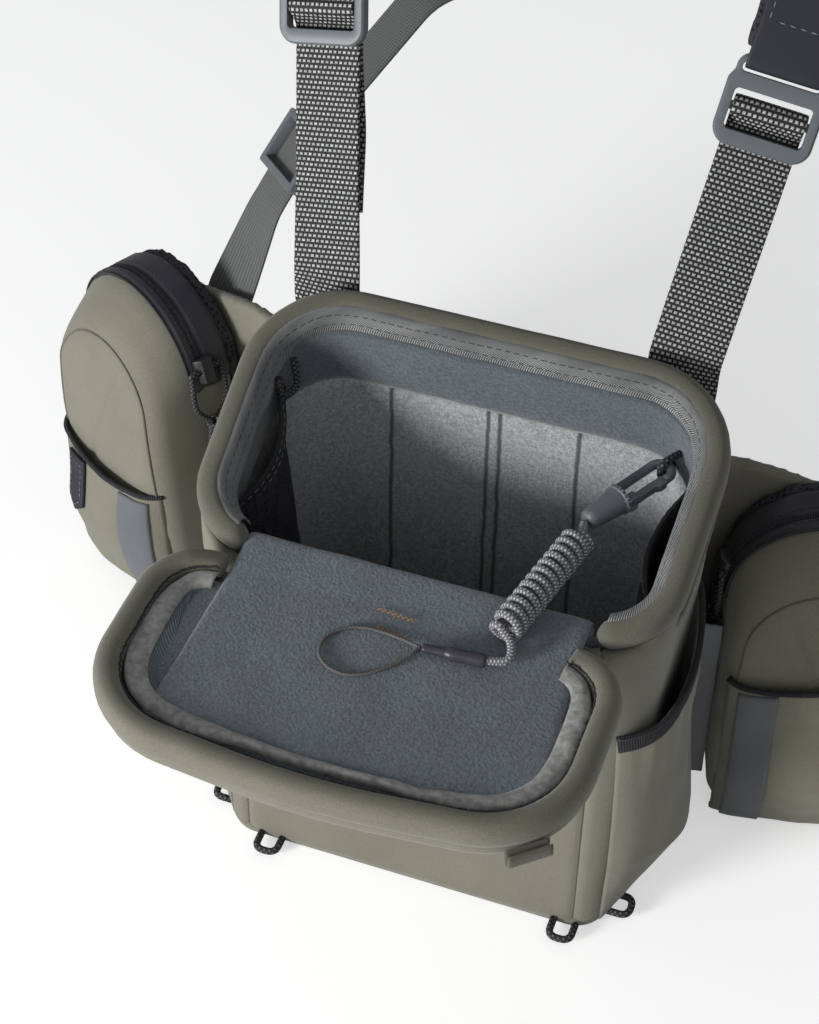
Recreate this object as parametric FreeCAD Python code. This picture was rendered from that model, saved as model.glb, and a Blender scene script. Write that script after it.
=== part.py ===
import FreeCAD, Part
import math
import os

os.makedirs("parts", exist_ok=True)


def vec(x, y, z):
    return FreeCAD.Vector(x, y, z)


# Binocular harness pack, in millimetres. +Z is up and the pack's front faces -Y, so +X is on
# the right of someone who looks at its front. The origin is the middle of the main pouch's
# base, on the surface that the pack stands on.

# ---- Main pouch ----
BASE_HALF_WIDTH = 75.0
RIM_HALF_WIDTH = 88.0
BASE_FRONT_Y = -50.0
RIM_FRONT_Y = -45.0
BASE_BACK_Y = 46.0
RIM_BACK_Y = 50.0
BASE_FRONT_RADIUS = 12.0
RIM_FRONT_RADIUS = 27.0
BASE_BACK_RADIUS = 22.0
RIM_BACK_RADIUS = 36.0
TAPER_HEIGHT = 200.0        # height at which the rim's own sizes are measured
SHELL = 2.6                 # stretch-woven outer cloth with its thin foam
LINER = 4.0                 # fleece-faced foam lining
BASE_THICK = 4.0
BASE_LINER_THICK = 5.0
FRONT_SEAM_X = 65.0
BACK_SEAM_X = 58.0

# ---- Rim of the main pouch: a slanted plane that rises from the hinge to the back ----
HINGE_Y = -45.0
HINGE_Z = 157.0
RIM_SLOPE = 21.8            # degrees
HINGE_HALF = 63.0           # the rim roll's two ends
ROLL_WIDTH = 11.0
ROLL_HEIGHT = 13.0
ROLL_PROUD = 1.0
ROLL_BEVEL = 3.4
GROSGRAIN = 1.2
FLEECE_BAND_DROP = 30.0     # from the rim plane down to the band's lower edge

# ---- Lid, open and level; soft, so it lies a little to one side ----
LID_HALF_WIDTH = 84.0
LID_SHIFT = -5.0
LID_SIDE_LENGTH = 86.0      # hinge to the middle of the front corners
LID_LENGTH = 94.0           # hinge to the front edge
LID_BACK_GAP = 3.4
LID_HINGE_RADIUS = 24.0
LID_FRONT_RADIUS = 37.0
LID_DEPTH = 18.0
LID_ROLL_WIDTH = 10.0
LID_ROLL_HEIGHT = 11.0
LID_ROLL_BEVEL = 3.0
LID_REST_GAP = 0.5          # lid roll to rim roll when closed
LID_SKIN = 2.5
STIFFENER = 1.5
FLEECE_SINK = 5.0           # rim plane to fleece face
LINING_STRIP = 1.8
PULL_TAB_WIDTH = 15.0
PULL_TAB_LOW = 17.5          # below the hinge
PULL_TAB_TURN = 41.0        # round the corner, from straight ahead
PULL_TAB_GAP = 0.2
LID_CORNER_RISE = 0.9       # middle of the corner behind the corner point, in corner radii

# ---- Stretch pockets on the main pouch's sides ----
SIDE_POCKET_FRONT_Y = -44.0
SIDE_POCKET_BACK_Y = 22.0
SIDE_POCKET_BULGE = 19.0
SIDE_POCKET_FRONT_Z = 106.0
SIDE_POCKET_BACK_Z = 122.0
POCKET_CLOTH = 1.6
BINDING_HEIGHT = 7.0
BINDING_PROUD = 0.9

# ---- Mesh pockets inside ----
MESH_FRONT_Y = -22.0
MESH_BACK_Y = 26.0
MESH_BULGE = 11.0
MESH_FRONT_Z = 144.0         # the slanting mouth
MESH_BACK_Z = 166.0
MESH_CLOTH = 1.2

# ---- Side pouches, each about its own upright middle line ----
POUCH_HALF_WIDTH = 35.0     # also the radius of the domed top
POUCH_DOME_Z = 103.0
POUCH_FRONT = 24.0          # middle line to the front face
POUCH_BACK = 18.0           # middle line to the back panel
POUCH_BACK_THICK = 6.0
POUCH_CORNER = 16.0
POUCH_FRONT_ROUNDING = 10.0
POUCH_WALL = 3.0
ZIP_BAND_FRONT = 0.0
ZIP_COIL_AT = 6.0           # behind the middle line
ZIP_COIL_WIDTH = 3.6
ZIP_COIL_HEIGHT = 1.0
POUCH_BACK_FACE = POUCH_BACK + POUCH_BACK_THICK
# x, y, lift, turn about the upright and outward lean in degrees; soft, so the two stand differently.
POUCH_SPOTS = {"left": (-151.0, 76.0, 5.0, -29.0, 7.0), "right": (124.5, 49.0, 0.0, 16.0, 0.0)}
FRONT_POCKET_WIDTH = 65.0
FRONT_POCKET_BULGE = 13.0
FRONT_POCKET_MOUTHS = {"left": (60.0, 68.0), "right": (80.0, 92.0)}     # height at the inner and outer end
FRONT_POCKET_TOP = 104.0    # height up to which the pocket's bow is shaped
STRIPE_WIDTH = 14.0
STRIPE_THICK = 0.8
STRIPE_INNER_U = -29.0
TAB_INNER_U = 7.0
TAB_WIDTH = 13.0
TAB_LENGTH = 25.0
TAB_THICK = 1.2
TAB_GAP = 0.4               # below the binding

# ---- Zip sliders and their cord pulls ----
SLIDER_LENGTH = 9.0
SLIDER_WIDTH = 8.4
SLIDER_HEIGHT = 5.2
SLIDER_CLEARANCE = 0.3
SLIDER_REST_DEG = 176.0
TUNNEL_AT = 3.2             # from the slider's foot to the middle of its tunnel
PULL_CORD = 2.2
PULL_DROP = 25.0
PULL_SPREAD = 2.0            # from the slider to each strand
KNOT_RADIUS = 3.6
KNOT_HALF = 2.5
TAIL_LENGTH = 13.0

# ---- Wings and gussets between the main pouch and the side pouches ----
WING_THICK = 5.0
WING_LOW_Z = 22.0
WING_ROOT_X = 44.0
WING_ROOT_Z = 152.0
WING_INNER_Z = 142.0
WING_OUTER_Z = 122.0
GUSSET_THICK = 1.6
GUSSET_LOW_Z = 8.0
# y at the body, depth on the pouch and height of the top edge
GUSSET_SPOTS = {"left": (36.0, 12.0, 70.0), "right": (27.0, -13.0, 92.0)}
WING_REACH = {"left": (-28.0, 38.0), "right": (-32.0, 28.0)}     # along the pouch's back, from its middle
WING_BEND = 1.8             # how far the wing stands off where it meets the pouch's back

# ---- Straps and their hardware ----
WEBBING_WIDTH = 25.4
WEBBING = 1.6
FRONT_STRAPS = {
    "left": {"foot": vec(-66, 56.6, 152.6), "rim": vec(-70, 57.1, 190), "top": vec(-82.5, 95, 262), "turn": -12.0},
    "right": {"foot": vec(60, 56.6, 152.6), "rim": vec(62, 57.1, 190), "top": vec(71, 94, 255), "turn": 10.0},
}
REAR_STRAPS = {
    "left": {"foot_u": -4.0, "foot_z": 96.0, "lift_z": 126.0, "glide": vec(-109.5, 128, 186.5),
             "far": vec(-80, 175, 228)},
    "right": {"foot_u": 14.0, "foot_z": 96.0, "lift_z": 126.0, "glide": vec(138, 118, 190),
              "far": vec(112, 180, 238)},
}
TAIL_BULGE = 3.0
TAIL_OF_STRAP = 58.0
LOCK_SIDE = 3.5             # each side bar
LOCK_LENGTH = 31.0
LOCK_THICK = 4.4
LOCK_CORNER = 6.5
LOCK_BEVEL = 0.8
LOCK_EAR_STEP = 1.5
LOCK_SLOT_WIDTH = WEBBING_WIDTH + 1.6
LOCK_WIDTH = LOCK_SLOT_WIDTH + 2 * LOCK_SIDE
LOCK_TOP_BAR = 3.0
LOCK_MIDDLE_BAR_TOP = 9.0   # all from the lock's centre
LOCK_WINDOW_HIGH = 3.7
LOCK_WINDOW_LOW = -10.2
LOCK_GRIP_HIGH = -1.2
LOCK_GRIP_LOW = -4.0
GLIDE_LENGTH = 24.0
GLIDE_BAR = 3.0
GLIDE_TRAVEL = 8.0
HYPALON = 1.4
SHOULDER_TAB = 42.0         # past the lock's end
PAD_WIDTH = 52.0
PAD_THICK = 8.0
PAD_END_THICK = 5.0
YOKE_CENTRE = vec(0, 262, 292)
YOKE_HALF_WIDTH = 48.0
YOKE_TOP = 30.0
YOKE_LEAN = 68.0            # degrees from level

# ---- Cord loops ----
LASH_CORD = 2.8
LASH_HALF = 4.2
LASH_REACH = 8.0
LASH_Z = 3.0
LASH_SPOTS = [(-55, -50.3, -90), (62, -50.3, -90), (-75.5, -36, 180), (75.5, -36, 0), (75.5, 18, 0)]
LOOP_CORD = 2.6

# ---- Tether: hook, gate, coil, sleeve and thin loop ----
HOOK_TAIL = vec(46.4, -1.8, 162.5)
HOOK_TIP = vec(66.2, 31.8, 165.0)
HOOK_WALL_HIGH = vec(68.9, 36.6, 167.6)
HOOK_WALL_LOW = vec(66.3, 38.2, 161.0)
HOOK_BARREL = 5.0
HOOK_COLLAR = 15.5
HOOK_ARM = 3.4
HOOK_NOSE = 3.9             # bend radius of the nose's middle line
HOOK_NOSE_AT = 34.0
HOOK_CORD_AT = 34.3
HOOK_CORD_LEVEL = 3.9
GATE_PIN_AT = 17.9
GATE_PIN_LEVEL = -3.55
GATE_HALF = 1.5
ELASTIC_CORD = 3.0
LEAD_GAP = 1.2               # the lead leaves the hook at a slant
COIL_RADIUS = 6.0
COIL_START = vec(46.6, -9.5, 162.4)
COIL_END = vec(34.3, -56.0, 158.6)
SLEEVE_RADIUS = 2.5
SLEEVE_START = vec(32.3, -66.3, 154.7)
SLEEVE_END = vec(11.0, -67.9, 154.6)
THIN_CORD = 1.2
THIN_LOOP = [vec(10.2, -67.3, 153.9), vec(-1.0, -64.0, 152.8), vec(-14.0, -64.5, 152.8), vec(-21.6, -72.0, 152.8),
             vec(-20.4, -82.0, 152.8), vec(-10.0, -87.0, 152.8), vec(2.0, -80.5, 152.8), vec(10.2, -68.5, 153.9)]
CONTACT_GAP = 0.3


def unit(v):
    return FreeCAD.Vector(v).normalize()


def save(name, shape):
    """Write one sub-part to its own file and say what it holds."""
    shape.exportStep("parts/" + name + ".step")
    print("%-22s %2d solid(s) %10.1f mm3" % (name, len(shape.Solids), shape.Volume))


# ---------------------------------------------------------------- outlines
def rounded_wire(corners):
    """A closed outline in the XY plane; each corner is (x, y, rounding radius)."""
    count = len(corners)
    stops = []
    for i in range(count):
        here = vec(corners[i][0], corners[i][1], 0)
        before = vec(corners[i - 1][0], corners[i - 1][1], 0)
        after = vec(corners[(i + 1) % count][0], corners[(i + 1) % count][1], 0)
        radius = corners[i][2]
        back = unit(before - here)
        ahead = unit(after - here)
        half = back.getAngle(ahead) / 2
        reach = radius / math.tan(half)
        inward = unit(back + ahead)
        middle = here + inward * (radius / math.sin(half) - radius)
        stops.append((here + back * reach, middle, here + ahead * reach))
    edges = []
    for i in range(count):
        enter, middle, leave = stops[i]
        edges.append(Part.Arc(enter, middle, leave).toShape())
        onward = stops[(i + 1) % count][0]
        if leave.distanceToPoint(onward) > 0.001:
            edges.append(Part.LineSegment(leave, onward).toShape())
    return Part.Wire(edges)


def prism(corners, low, high):
    """A solid from a rounded outline, from z = low to z = high."""
    face = Part.Face(rounded_wire(corners))
    face.translate(vec(0, 0, low))
    return face.extrude(vec(0, 0, high - low))


def box(low, high):
    return Part.makeBox(high[0] - low[0], high[1] - low[1], high[2] - low[2], vec(*low))


def level_edges(shape, z):
    """The edges that lie at one height."""
    return [e for e in shape.Edges
            if abs(e.BoundBox.ZMin - z) < 0.01 and abs(e.BoundBox.ZMax - z) < 0.01]


def rounded_levels(shape, radius, levels):
    edges = []
    for z in levels:
        edges.extend(level_edges(shape, z))
    return shape.makeFillet(radius, edges)


def bevelled_levels(shape, size, levels):
    edges = []
    for z in levels:
        edges.extend(level_edges(shape, z))
    return shape.makeChamfer(size, edges)


# ---------------------------------------------------------------- main pouch
def taper(base, rim, z):
    return base + (rim - base) * z / TAPER_HEIGHT


def pouch_corners(z, inset):
    """The main pouch's plan outline at one height, moved inwards by inset."""
    half = taper(BASE_HALF_WIDTH, RIM_HALF_WIDTH, z) - inset
    front = taper(BASE_FRONT_Y, RIM_FRONT_Y, z) + inset
    back = taper(BASE_BACK_Y, RIM_BACK_Y, z) - inset
    front_r = taper(BASE_FRONT_RADIUS, RIM_FRONT_RADIUS, z) - inset
    back_r = taper(BASE_BACK_RADIUS, RIM_BACK_RADIUS, z) - inset
    return [(half, front, front_r), (half, back, back_r),
            (-half, back, back_r), (-half, front, front_r)]


def pouch_block(inset, low, high):
    wires = []
    for z in (low, high):
        wire = rounded_wire(pouch_corners(z, inset))
        wire.translate(vec(0, 0, z))
        wires.append(wire)
    return Part.makeLoft(wires, True, True)


RIM_PLACE = FreeCAD.Placement(vec(0, HINGE_Y, HINGE_Z), FreeCAD.Rotation(vec(1, 0, 0), RIM_SLOPE))
LID_PLACE = FreeCAD.Placement(vec(0, HINGE_Y, HINGE_Z), FreeCAD.Rotation())
FAR = 400.0


def above_rim(drop):
    """Everything above a plane that lies drop below the rim plane."""
    block = box((-FAR, -FAR, -drop), (FAR, FAR, FAR))
    block.Placement = RIM_PLACE
    return block


def below_rim(drop):
    block = box((-FAR, -FAR, -FAR), (FAR, FAR, -drop))
    block.Placement = RIM_PLACE
    return block


def pouch_layer(outer_inset, inner_inset, low, top_drop):
    """One layer of the pouch's wall, cut off along the slanted rim."""
    high = TAPER_HEIGHT + 20.0
    layer = pouch_block(outer_inset, low, high).cut(pouch_block(inner_inset, low - 1, high + 1))
    return layer.cut(above_rim(top_drop))


def rim_corners(inset):
    """The rim's outline in its own slanted plane, y running up the slope from the hinge."""
    rise = math.tan(math.radians(RIM_SLOPE))
    back_z = HINGE_Z + (RIM_BACK_Y - HINGE_Y) * rise
    run = 1.0 / math.cos(math.radians(RIM_SLOPE))
    front = (taper(BASE_FRONT_Y, RIM_FRONT_Y, HINGE_Z) - HINGE_Y) * run - ROLL_PROUD + inset
    back = (RIM_BACK_Y - HINGE_Y) * run + ROLL_PROUD - inset
    wide_front = taper(BASE_HALF_WIDTH, RIM_HALF_WIDTH, HINGE_Z) + ROLL_PROUD - inset
    wide_back = taper(BASE_HALF_WIDTH, RIM_HALF_WIDTH, back_z) + ROLL_PROUD - inset
    return [(wide_front, front, RIM_FRONT_RADIUS - inset), (wide_back, back, RIM_BACK_RADIUS - inset),
            (-wide_back, back, RIM_BACK_RADIUS - inset), (-wide_front, front, RIM_FRONT_RADIUS - inset)]


def make_main_pouch():
    outer_wall = SHELL
    inner_wall = SHELL + LINER
    shell = pouch_layer(0.0, outer_wall, BASE_THICK, ROLL_HEIGHT)
    front = shell.common(box((-FRONT_SEAM_X, -FAR, 0), (FRONT_SEAM_X, 0, FAR)))
    back = shell.common(box((-BACK_SEAM_X, 0, 0), (BACK_SEAM_X, FAR, FAR)))
    rest = shell.cut(front).cut(back)
    right = rest.common(box((0, -FAR, 0), (FAR, FAR, FAR)))
    left = rest.common(box((-FAR, -FAR, 0), (0, FAR, FAR)))
    save("front_panel", front)
    save("back_panel", back)
    save("side_panel_right", right)
    save("side_panel_left", left)

    base = prism(pouch_corners(0.0, 0.0), 0.0, BASE_THICK)
    base = bevelled_levels(base, BASE_THICK - 1.4, [0.0])
    save("base_panel", base)
    liner_floor = BASE_THICK + BASE_LINER_THICK
    base_liner = pouch_block(inner_wall, BASE_THICK, liner_floor)
    save("base_liner", base_liner)

    liner = pouch_layer(outer_wall, inner_wall, BASE_THICK, FLEECE_BAND_DROP)
    back_liner = liner.common(box((-FAR, RIM_BACK_Y - RIM_BACK_RADIUS, 0), (FAR, FAR, FAR)))
    wall_liner = liner.cut(back_liner)
    save("back_liner", back_liner)
    save("wall_liner", wall_liner)
    band = pouch_layer(outer_wall, inner_wall, BASE_THICK, ROLL_HEIGHT).cut(below_rim(FLEECE_BAND_DROP))
    front_gap = box((-HINGE_HALF, -FAR, 0), (HINGE_HALF, 0, FAR))
    save("fleece_band", band.cut(front_gap))


def make_rim():
    ring = prism(rim_corners(0.0), -ROLL_HEIGHT, 0.0).cut(
        prism(rim_corners(ROLL_WIDTH), -ROLL_HEIGHT - 1, 1))
    ring = bevelled_levels(ring, ROLL_BEVEL, [-ROLL_HEIGHT, 0.0])
    gap = box((-HINGE_HALF, -FAR, -FAR), (HINGE_HALF, ROLL_WIDTH * 1.5, FAR))
    roll = ring.cut(gap)
    roll.Placement = RIM_PLACE
    save("rim_roll", roll)
    tape_top = -ROLL_BEVEL
    tape = prism(rim_corners(ROLL_WIDTH), -ROLL_HEIGHT, tape_top).cut(
        prism(rim_corners(ROLL_WIDTH + GROSGRAIN), -ROLL_HEIGHT - 1, 1)).cut(gap)
    tape.Placement = RIM_PLACE
    save("rim_grosgrain", tape)


# ---------------------------------------------------------------- bulged pockets
def segment_wire(width, depth, back, z):
    """A bulging pocket's plan: a flat back at y = -back and a bowed front that ends at y = 0."""
    half = width / 2
    points = [vec(-half, -back, z), vec(half, -back, z), vec(half, 0, z), vec(-half, 0, z)]
    sides = [Part.LineSegment(points[i], points[i + 1]).toShape() for i in range(2)]
    bow = Part.Arc(points[2], vec(0, depth, z), points[3]).toShape()
    close = Part.LineSegment(points[3], points[0]).toShape()
    return Part.Wire([sides[0], sides[1], bow, close])


def bulged_sheet(width, stations, cloth, back):
    """A pocket of one cloth that stands off the wall behind it, open at the top."""
    outer = Part.makeLoft([segment_wire(width, depth, back, z) for z, depth in stations], True, False)
    inner_stations = [(z, depth - cloth) for z, depth in stations]
    inner_stations[0] = (stations[0][0] + cloth, stations[0][1] - cloth)
    top_z, top_depth = inner_stations[-1]
    inner_stations[-1] = (top_z + 1.0, top_depth)
    inner = Part.makeLoft([segment_wire(width - 2 * cloth, depth, back + 1, z)
                           for z, depth in inner_stations], True, False)
    return outer.cut(inner), outer


def slanted_top(front_z, back_z, front_x, back_x):
    """Everything above a line that runs from one height to another along x."""
    slope = (back_z - front_z) / (back_x - front_x)
    reach = 200.0
    low = vec(front_x - reach, -FAR, front_z - slope * reach)
    high = vec(back_x + reach, -FAR, back_z + slope * reach)
    wire = Part.makePolygon([low, high, high + vec(0, 0, FAR), low + vec(0, 0, FAR), low])
    return Part.Face(wire).extrude(vec(0, 2 * FAR, 0))


def raise_by(shape, height):
    moved = shape.copy()
    moved.translate(vec(0, 0, height))
    return moved


def mirrored(shape):
    return shape.mirror(vec(0, 0, 0), vec(1, 0, 0))


def make_stretch_pockets():
    """Stretch pockets outside both walls; the binding is a fatter strip along the mouth."""
    width = SIDE_POCKET_BACK_Y - SIDE_POCKET_FRONT_Y
    middle = (SIDE_POCKET_BACK_Y + SIDE_POCKET_FRONT_Y) / 2
    top = SIDE_POCKET_BACK_Z + 8.0
    stations = [(5.0, 7.0), (34.0, SIDE_POCKET_BULGE), (78.0, 0.62 * SIDE_POCKET_BULGE), (top, 6.0)]
    lean = math.degrees(math.atan((RIM_HALF_WIDTH - BASE_HALF_WIDTH) / TAPER_HEIGHT))
    # Local x runs back along the wall, local y stands off it.
    place = FreeCAD.Placement(vec(BASE_HALF_WIDTH, middle, 0), FreeCAD.Rotation(vec(0, 1, 0), lean)).multiply(
        FreeCAD.Placement(vec(0, 0, 0), FreeCAD.Rotation(vec(0, 0, 1), -90)))
    sheet, outer = bulged_sheet(width, stations, POCKET_CLOTH, 12.0)
    # Turned so, local +x points to the front.
    mouth = slanted_top(SIDE_POCKET_BACK_Z, SIDE_POCKET_FRONT_Z, -width / 2, width / 2)
    below = raise_by(mouth, -BINDING_HEIGHT)
    proud = [(z, depth + BINDING_PROUD) for z, depth in stations]
    fat, _ = bulged_sheet(width, proud, POCKET_CLOTH + 2 * BINDING_PROUD, 12.0)
    binding = fat.common(below).cut(mouth)
    sheet = sheet.cut(below)
    wall = pouch_block(0.0, 0.0, TAPER_HEIGHT)
    made = []
    for shape in (sheet, binding):
        shape.Placement = place
        made.append(shape.cut(wall))
    save("stretch_pocket_right", made[0])
    save("stretch_pocket_left", mirrored(made[0]))
    return [made[1], mirrored(made[1])]


def make_mesh_pockets():
    """Mesh pockets inside both side walls, bowed into the compartment."""
    width = MESH_BACK_Y - MESH_FRONT_Y
    middle = (MESH_BACK_Y + MESH_FRONT_Y) / 2
    floor = BASE_THICK + BASE_LINER_THICK
    stations = [(floor, 5.0), (60.0, MESH_BULGE), (MESH_BACK_Z + 2.0, 0.86 * MESH_BULGE)]
    sheet, _ = bulged_sheet(width, stations, MESH_CLOTH, 14.0)
    sheet = sheet.cut(slanted_top(MESH_FRONT_Z, MESH_BACK_Z, -width / 2, width / 2))
    lean = math.degrees(math.atan((RIM_HALF_WIDTH - BASE_HALF_WIDTH) / TAPER_HEIGHT))
    inner_x = BASE_HALF_WIDTH - SHELL - LINER
    sheet.Placement = FreeCAD.Placement(
        vec(inner_x, middle, 0), FreeCAD.Rotation(vec(0, 1, 0), lean)).multiply(
        FreeCAD.Placement(vec(0, 0, 0), FreeCAD.Rotation(vec(0, 0, 1), 90)))
    room = pouch_block(SHELL + LINER, floor, TAPER_HEIGHT)
    sheet = sheet.common(room)
    save("mesh_pockets", Part.Compound([sheet, mirrored(sheet)]))


# ---------------------------------------------------------------- lid
def lid_corners(inset):
    """The lid's outline, y running to the front from the hinge line."""
    back = -LID_BACK_GAP - inset
    half = LID_HALF_WIDTH - inset
    side = -LID_SIDE_LENGTH + inset
    front = -LID_LENGTH + inset
    right = LID_SHIFT + half
    left = LID_SHIFT - half
    return [(right, back, LID_HINGE_RADIUS - inset), (left, back, LID_HINGE_RADIUS - inset),
            (left, side, LID_FRONT_RADIUS - inset), (LID_SHIFT, front, 260.0),
            (right, side, LID_FRONT_RADIUS - inset)]


def lid_ring(outer_inset, inner_inset, low, high):
    return prism(lid_corners(outer_inset), low, high).cut(prism(lid_corners(inner_inset), low - 1, high + 1))


def make_lid():
    hinge_gap = box((-HINGE_HALF, -LID_BACK_GAP - 1.5 * LID_ROLL_WIDTH, -FAR), (HINGE_HALF, FAR, FAR))
    roll_low = -LID_REST_GAP - LID_ROLL_HEIGHT
    roll = lid_ring(0.0, LID_ROLL_WIDTH, roll_low, -LID_REST_GAP)
    roll = bevelled_levels(roll, LID_ROLL_BEVEL, [roll_low, -LID_REST_GAP]).cut(hinge_gap)

    floor = -LID_DEPTH + LID_SKIN
    shell = prism(lid_corners(1.0), -LID_DEPTH, roll_low)
    shell = bevelled_levels(shell, LID_SKIN, [-LID_DEPTH])
    shell = shell.cut(prism(lid_corners(1.0 + LID_SKIN), floor, roll_low + 1))

    panel_inset = LID_ROLL_WIDTH + LINING_STRIP
    stiffener = prism(lid_corners(panel_inset), floor, floor + STIFFENER)
    panel_low = floor + STIFFENER
    fleece = prism(lid_corners(panel_inset), panel_low, -FLEECE_SINK)
    fleece = bevelled_levels(fleece, 1.5, [-FLEECE_SINK])
    strip = lid_ring(LID_ROLL_WIDTH, panel_inset, panel_low, -LID_REST_GAP - 1.5).cut(hinge_gap)
    pieces = [("lid_rim_roll", roll), ("lid_shell", shell), ("lid_stiffener", stiffener),
              ("lid_fleece_panel", fleece), ("lid_lining_strip", strip)]
    for name, shape in pieces:
        shape.Placement = LID_PLACE
        save(name, shape)

    # A folded pull of cloth sewn to the lid's wall, at its right front corner.
    wall_radius = LID_FRONT_RADIUS - 1.0 + PULL_TAB_GAP
    tab = box((-PULL_TAB_WIDTH / 2, -wall_radius - 2 * HYPALON, -PULL_TAB_LOW),
              (PULL_TAB_WIDTH / 2, -wall_radius, roll_low - CONTACT_GAP))
    tab.rotate(vec(0, 0, 0), vec(0, 0, 1), PULL_TAB_TURN)
    tab.translate(LID_PLACE.Base + vec(LID_SHIFT + LID_HALF_WIDTH - LID_FRONT_RADIUS,
                                       -LID_SIDE_LENGTH + LID_FRONT_RADIUS * LID_CORNER_RISE, 0))
    save("lid_pull_tab", tab)
    make_lid_fold()


def profile_along_x(points, half):
    """A closed outline of (y, z) points, drawn out along x to both sides."""
    corners = [vec(-half, y, z) for y, z in points]
    corners.append(corners[0])
    return Part.Face(Part.makePolygon(corners)).extrude(vec(2 * half, 0, 0))


def make_lid_fold():
    """The cloth that bends where the lid joins the pouch: lining above, outer cloth below."""
    back_y = HINGE_Y - LID_BACK_GAP - LID_ROLL_WIDTH - LINING_STRIP
    face_z = HINGE_Z - FLEECE_SINK
    inner_y = taper(BASE_FRONT_Y, RIM_FRONT_Y, HINGE_Z) + SHELL + LINER
    thick = 2.6
    lining = profile_along_x([
        (back_y + CONTACT_GAP, face_z - 0.8), (HINGE_Y, face_z), (inner_y, face_z - 3.0),
        (inner_y, face_z - 3.0 - thick), (HINGE_Y, face_z - thick), (back_y + CONTACT_GAP, face_z - 0.8 - thick)],
        HINGE_HALF - 1.0)
    outer_y = taper(BASE_FRONT_Y, RIM_FRONT_Y, HINGE_Z)
    cos_slope = math.cos(math.radians(RIM_SLOPE))
    wall_top = HINGE_Z - ROLL_HEIGHT / cos_slope + CONTACT_GAP
    cloth = profile_along_x([
        (outer_y, wall_top), (outer_y + SHELL, wall_top + 0.8), (outer_y + 1.0, wall_top + 4.0),
        (outer_y - 1.2, wall_top + 3.0)], HINGE_HALF - 1.0)
    save("lid_fold", Part.Compound([lining, cloth]))


# ---------------------------------------------------------------- side pouches
def dome_outline(inset):
    """Front view of a side pouch: round-topped, with rounded lower corners, as (u, w, radius)."""
    half = POUCH_HALF_WIDTH - inset
    top = POUCH_DOME_Z + half
    return [(half, inset, POUCH_CORNER - inset), (half, top, half), (-half, top, half),
            (-half, inset, POUCH_CORNER - inset)]


def dome_slab(inset, near, far, rounding=0.0):
    """An upright slab of the dome outline, from depth near to depth far, front edge rounded."""
    slab = prism(dome_outline(inset), -far, -near)
    if rounding > 0:
        slab = rounded_levels(slab, rounding, [-near])
    slab.rotate(vec(0, 0, 0), vec(1, 0, 0), 90)
    return slab


def dome_ring(inner, outer, near, far):
    """A ring about the dome's own axis, kept above the dome's centre."""
    axis = vec(0, 1, 0)
    start = vec(0, near, POUCH_DOME_Z)
    ring = Part.makeCylinder(outer, far - near, start, axis).cut(
        Part.makeCylinder(inner, far - near, start, axis))
    return ring.common(box((-FAR, -FAR, POUCH_DOME_Z), (FAR, FAR, FAR)))


def pouch_placement(side):
    x, y, lift, turn, lean = POUCH_SPOTS[side]
    sign = 1 if side == "right" else -1
    upright = FreeCAD.Placement(vec(x, y, lift), FreeCAD.Rotation(vec(0, 0, 1), turn))
    return upright.multiply(FreeCAD.Placement(vec(0, 0, 0), FreeCAD.Rotation(vec(0, 1, 0), sign * lean)))


def pouch_point(side, u, depth):
    """The plan position of a spot by a side pouch, u counted away from the body and its lean left out."""
    x, y, _, turn, _ = POUCH_SPOTS[side]
    sign = 1 if side == "right" else -1
    spot = FreeCAD.Placement(vec(x, y, 0), FreeCAD.Rotation(vec(0, 0, 1), turn)).multVec(vec(sign * u, depth, 0))
    return spot.x, spot.y


def place_pouch_piece(shape, side):
    """Put a piece that was drawn for the right pouch on either pouch; u points away from the body."""
    moved = shape.copy() if side == "right" else mirrored(shape)
    moved.Placement = pouch_placement(side).multiply(moved.Placement)
    return moved


def slider_sweep():
    """The angle that the slider covers about the dome's axis."""
    return math.degrees(SLIDER_LENGTH / (POUCH_HALF_WIDTH + SLIDER_CLEARANCE))


def tunnel_spot():
    """Where the slider's tunnel crosses the front view, as (u, height)."""
    reach = POUCH_HALF_WIDTH + SLIDER_CLEARANCE + TUNNEL_AT
    angle = math.radians(SLIDER_REST_DEG - slider_sweep() / 2)
    return reach * math.cos(angle), POUCH_DOME_Z + reach * math.sin(angle)


def slider_solid():
    """The slider's body, turned about the dome's axis so that it can run round the zip."""
    inner = POUCH_HALF_WIDTH + SLIDER_CLEARANCE
    outer = inner + SLIDER_HEIGHT
    half = SLIDER_WIDTH / 2
    groove_half = ZIP_COIL_WIDTH / 2 + SLIDER_CLEARANCE
    groove_top = inner + ZIP_COIL_HEIGHT
    profile = [(inner, -half), (outer - 2.2, -half), (outer, -half + 2.0), (outer, half - 2.0),
               (outer - 2.2, half), (inner, half), (inner, groove_half), (groove_top, groove_half),
               (groove_top, -groove_half), (inner, -groove_half)]
    corners = [vec(r, ZIP_COIL_AT + v, POUCH_DOME_Z) for r, v in profile]
    corners.append(corners[0])
    sweep = slider_sweep()
    body = Part.Face(Part.makePolygon(corners)).revolve(
        vec(0, 0, POUCH_DOME_Z), vec(0, -1, 0), sweep)
    body.rotate(vec(0, 0, POUCH_DOME_Z), vec(0, -1, 0), SLIDER_REST_DEG - sweep)
    # The tunnel that the pull's cord passes through.
    u, w = tunnel_spot()
    return body.cut(Part.makeCylinder(PULL_CORD / 2 + CONTACT_GAP, 40.0, vec(u, -20.0, w), vec(0, 1, 0)))


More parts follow.
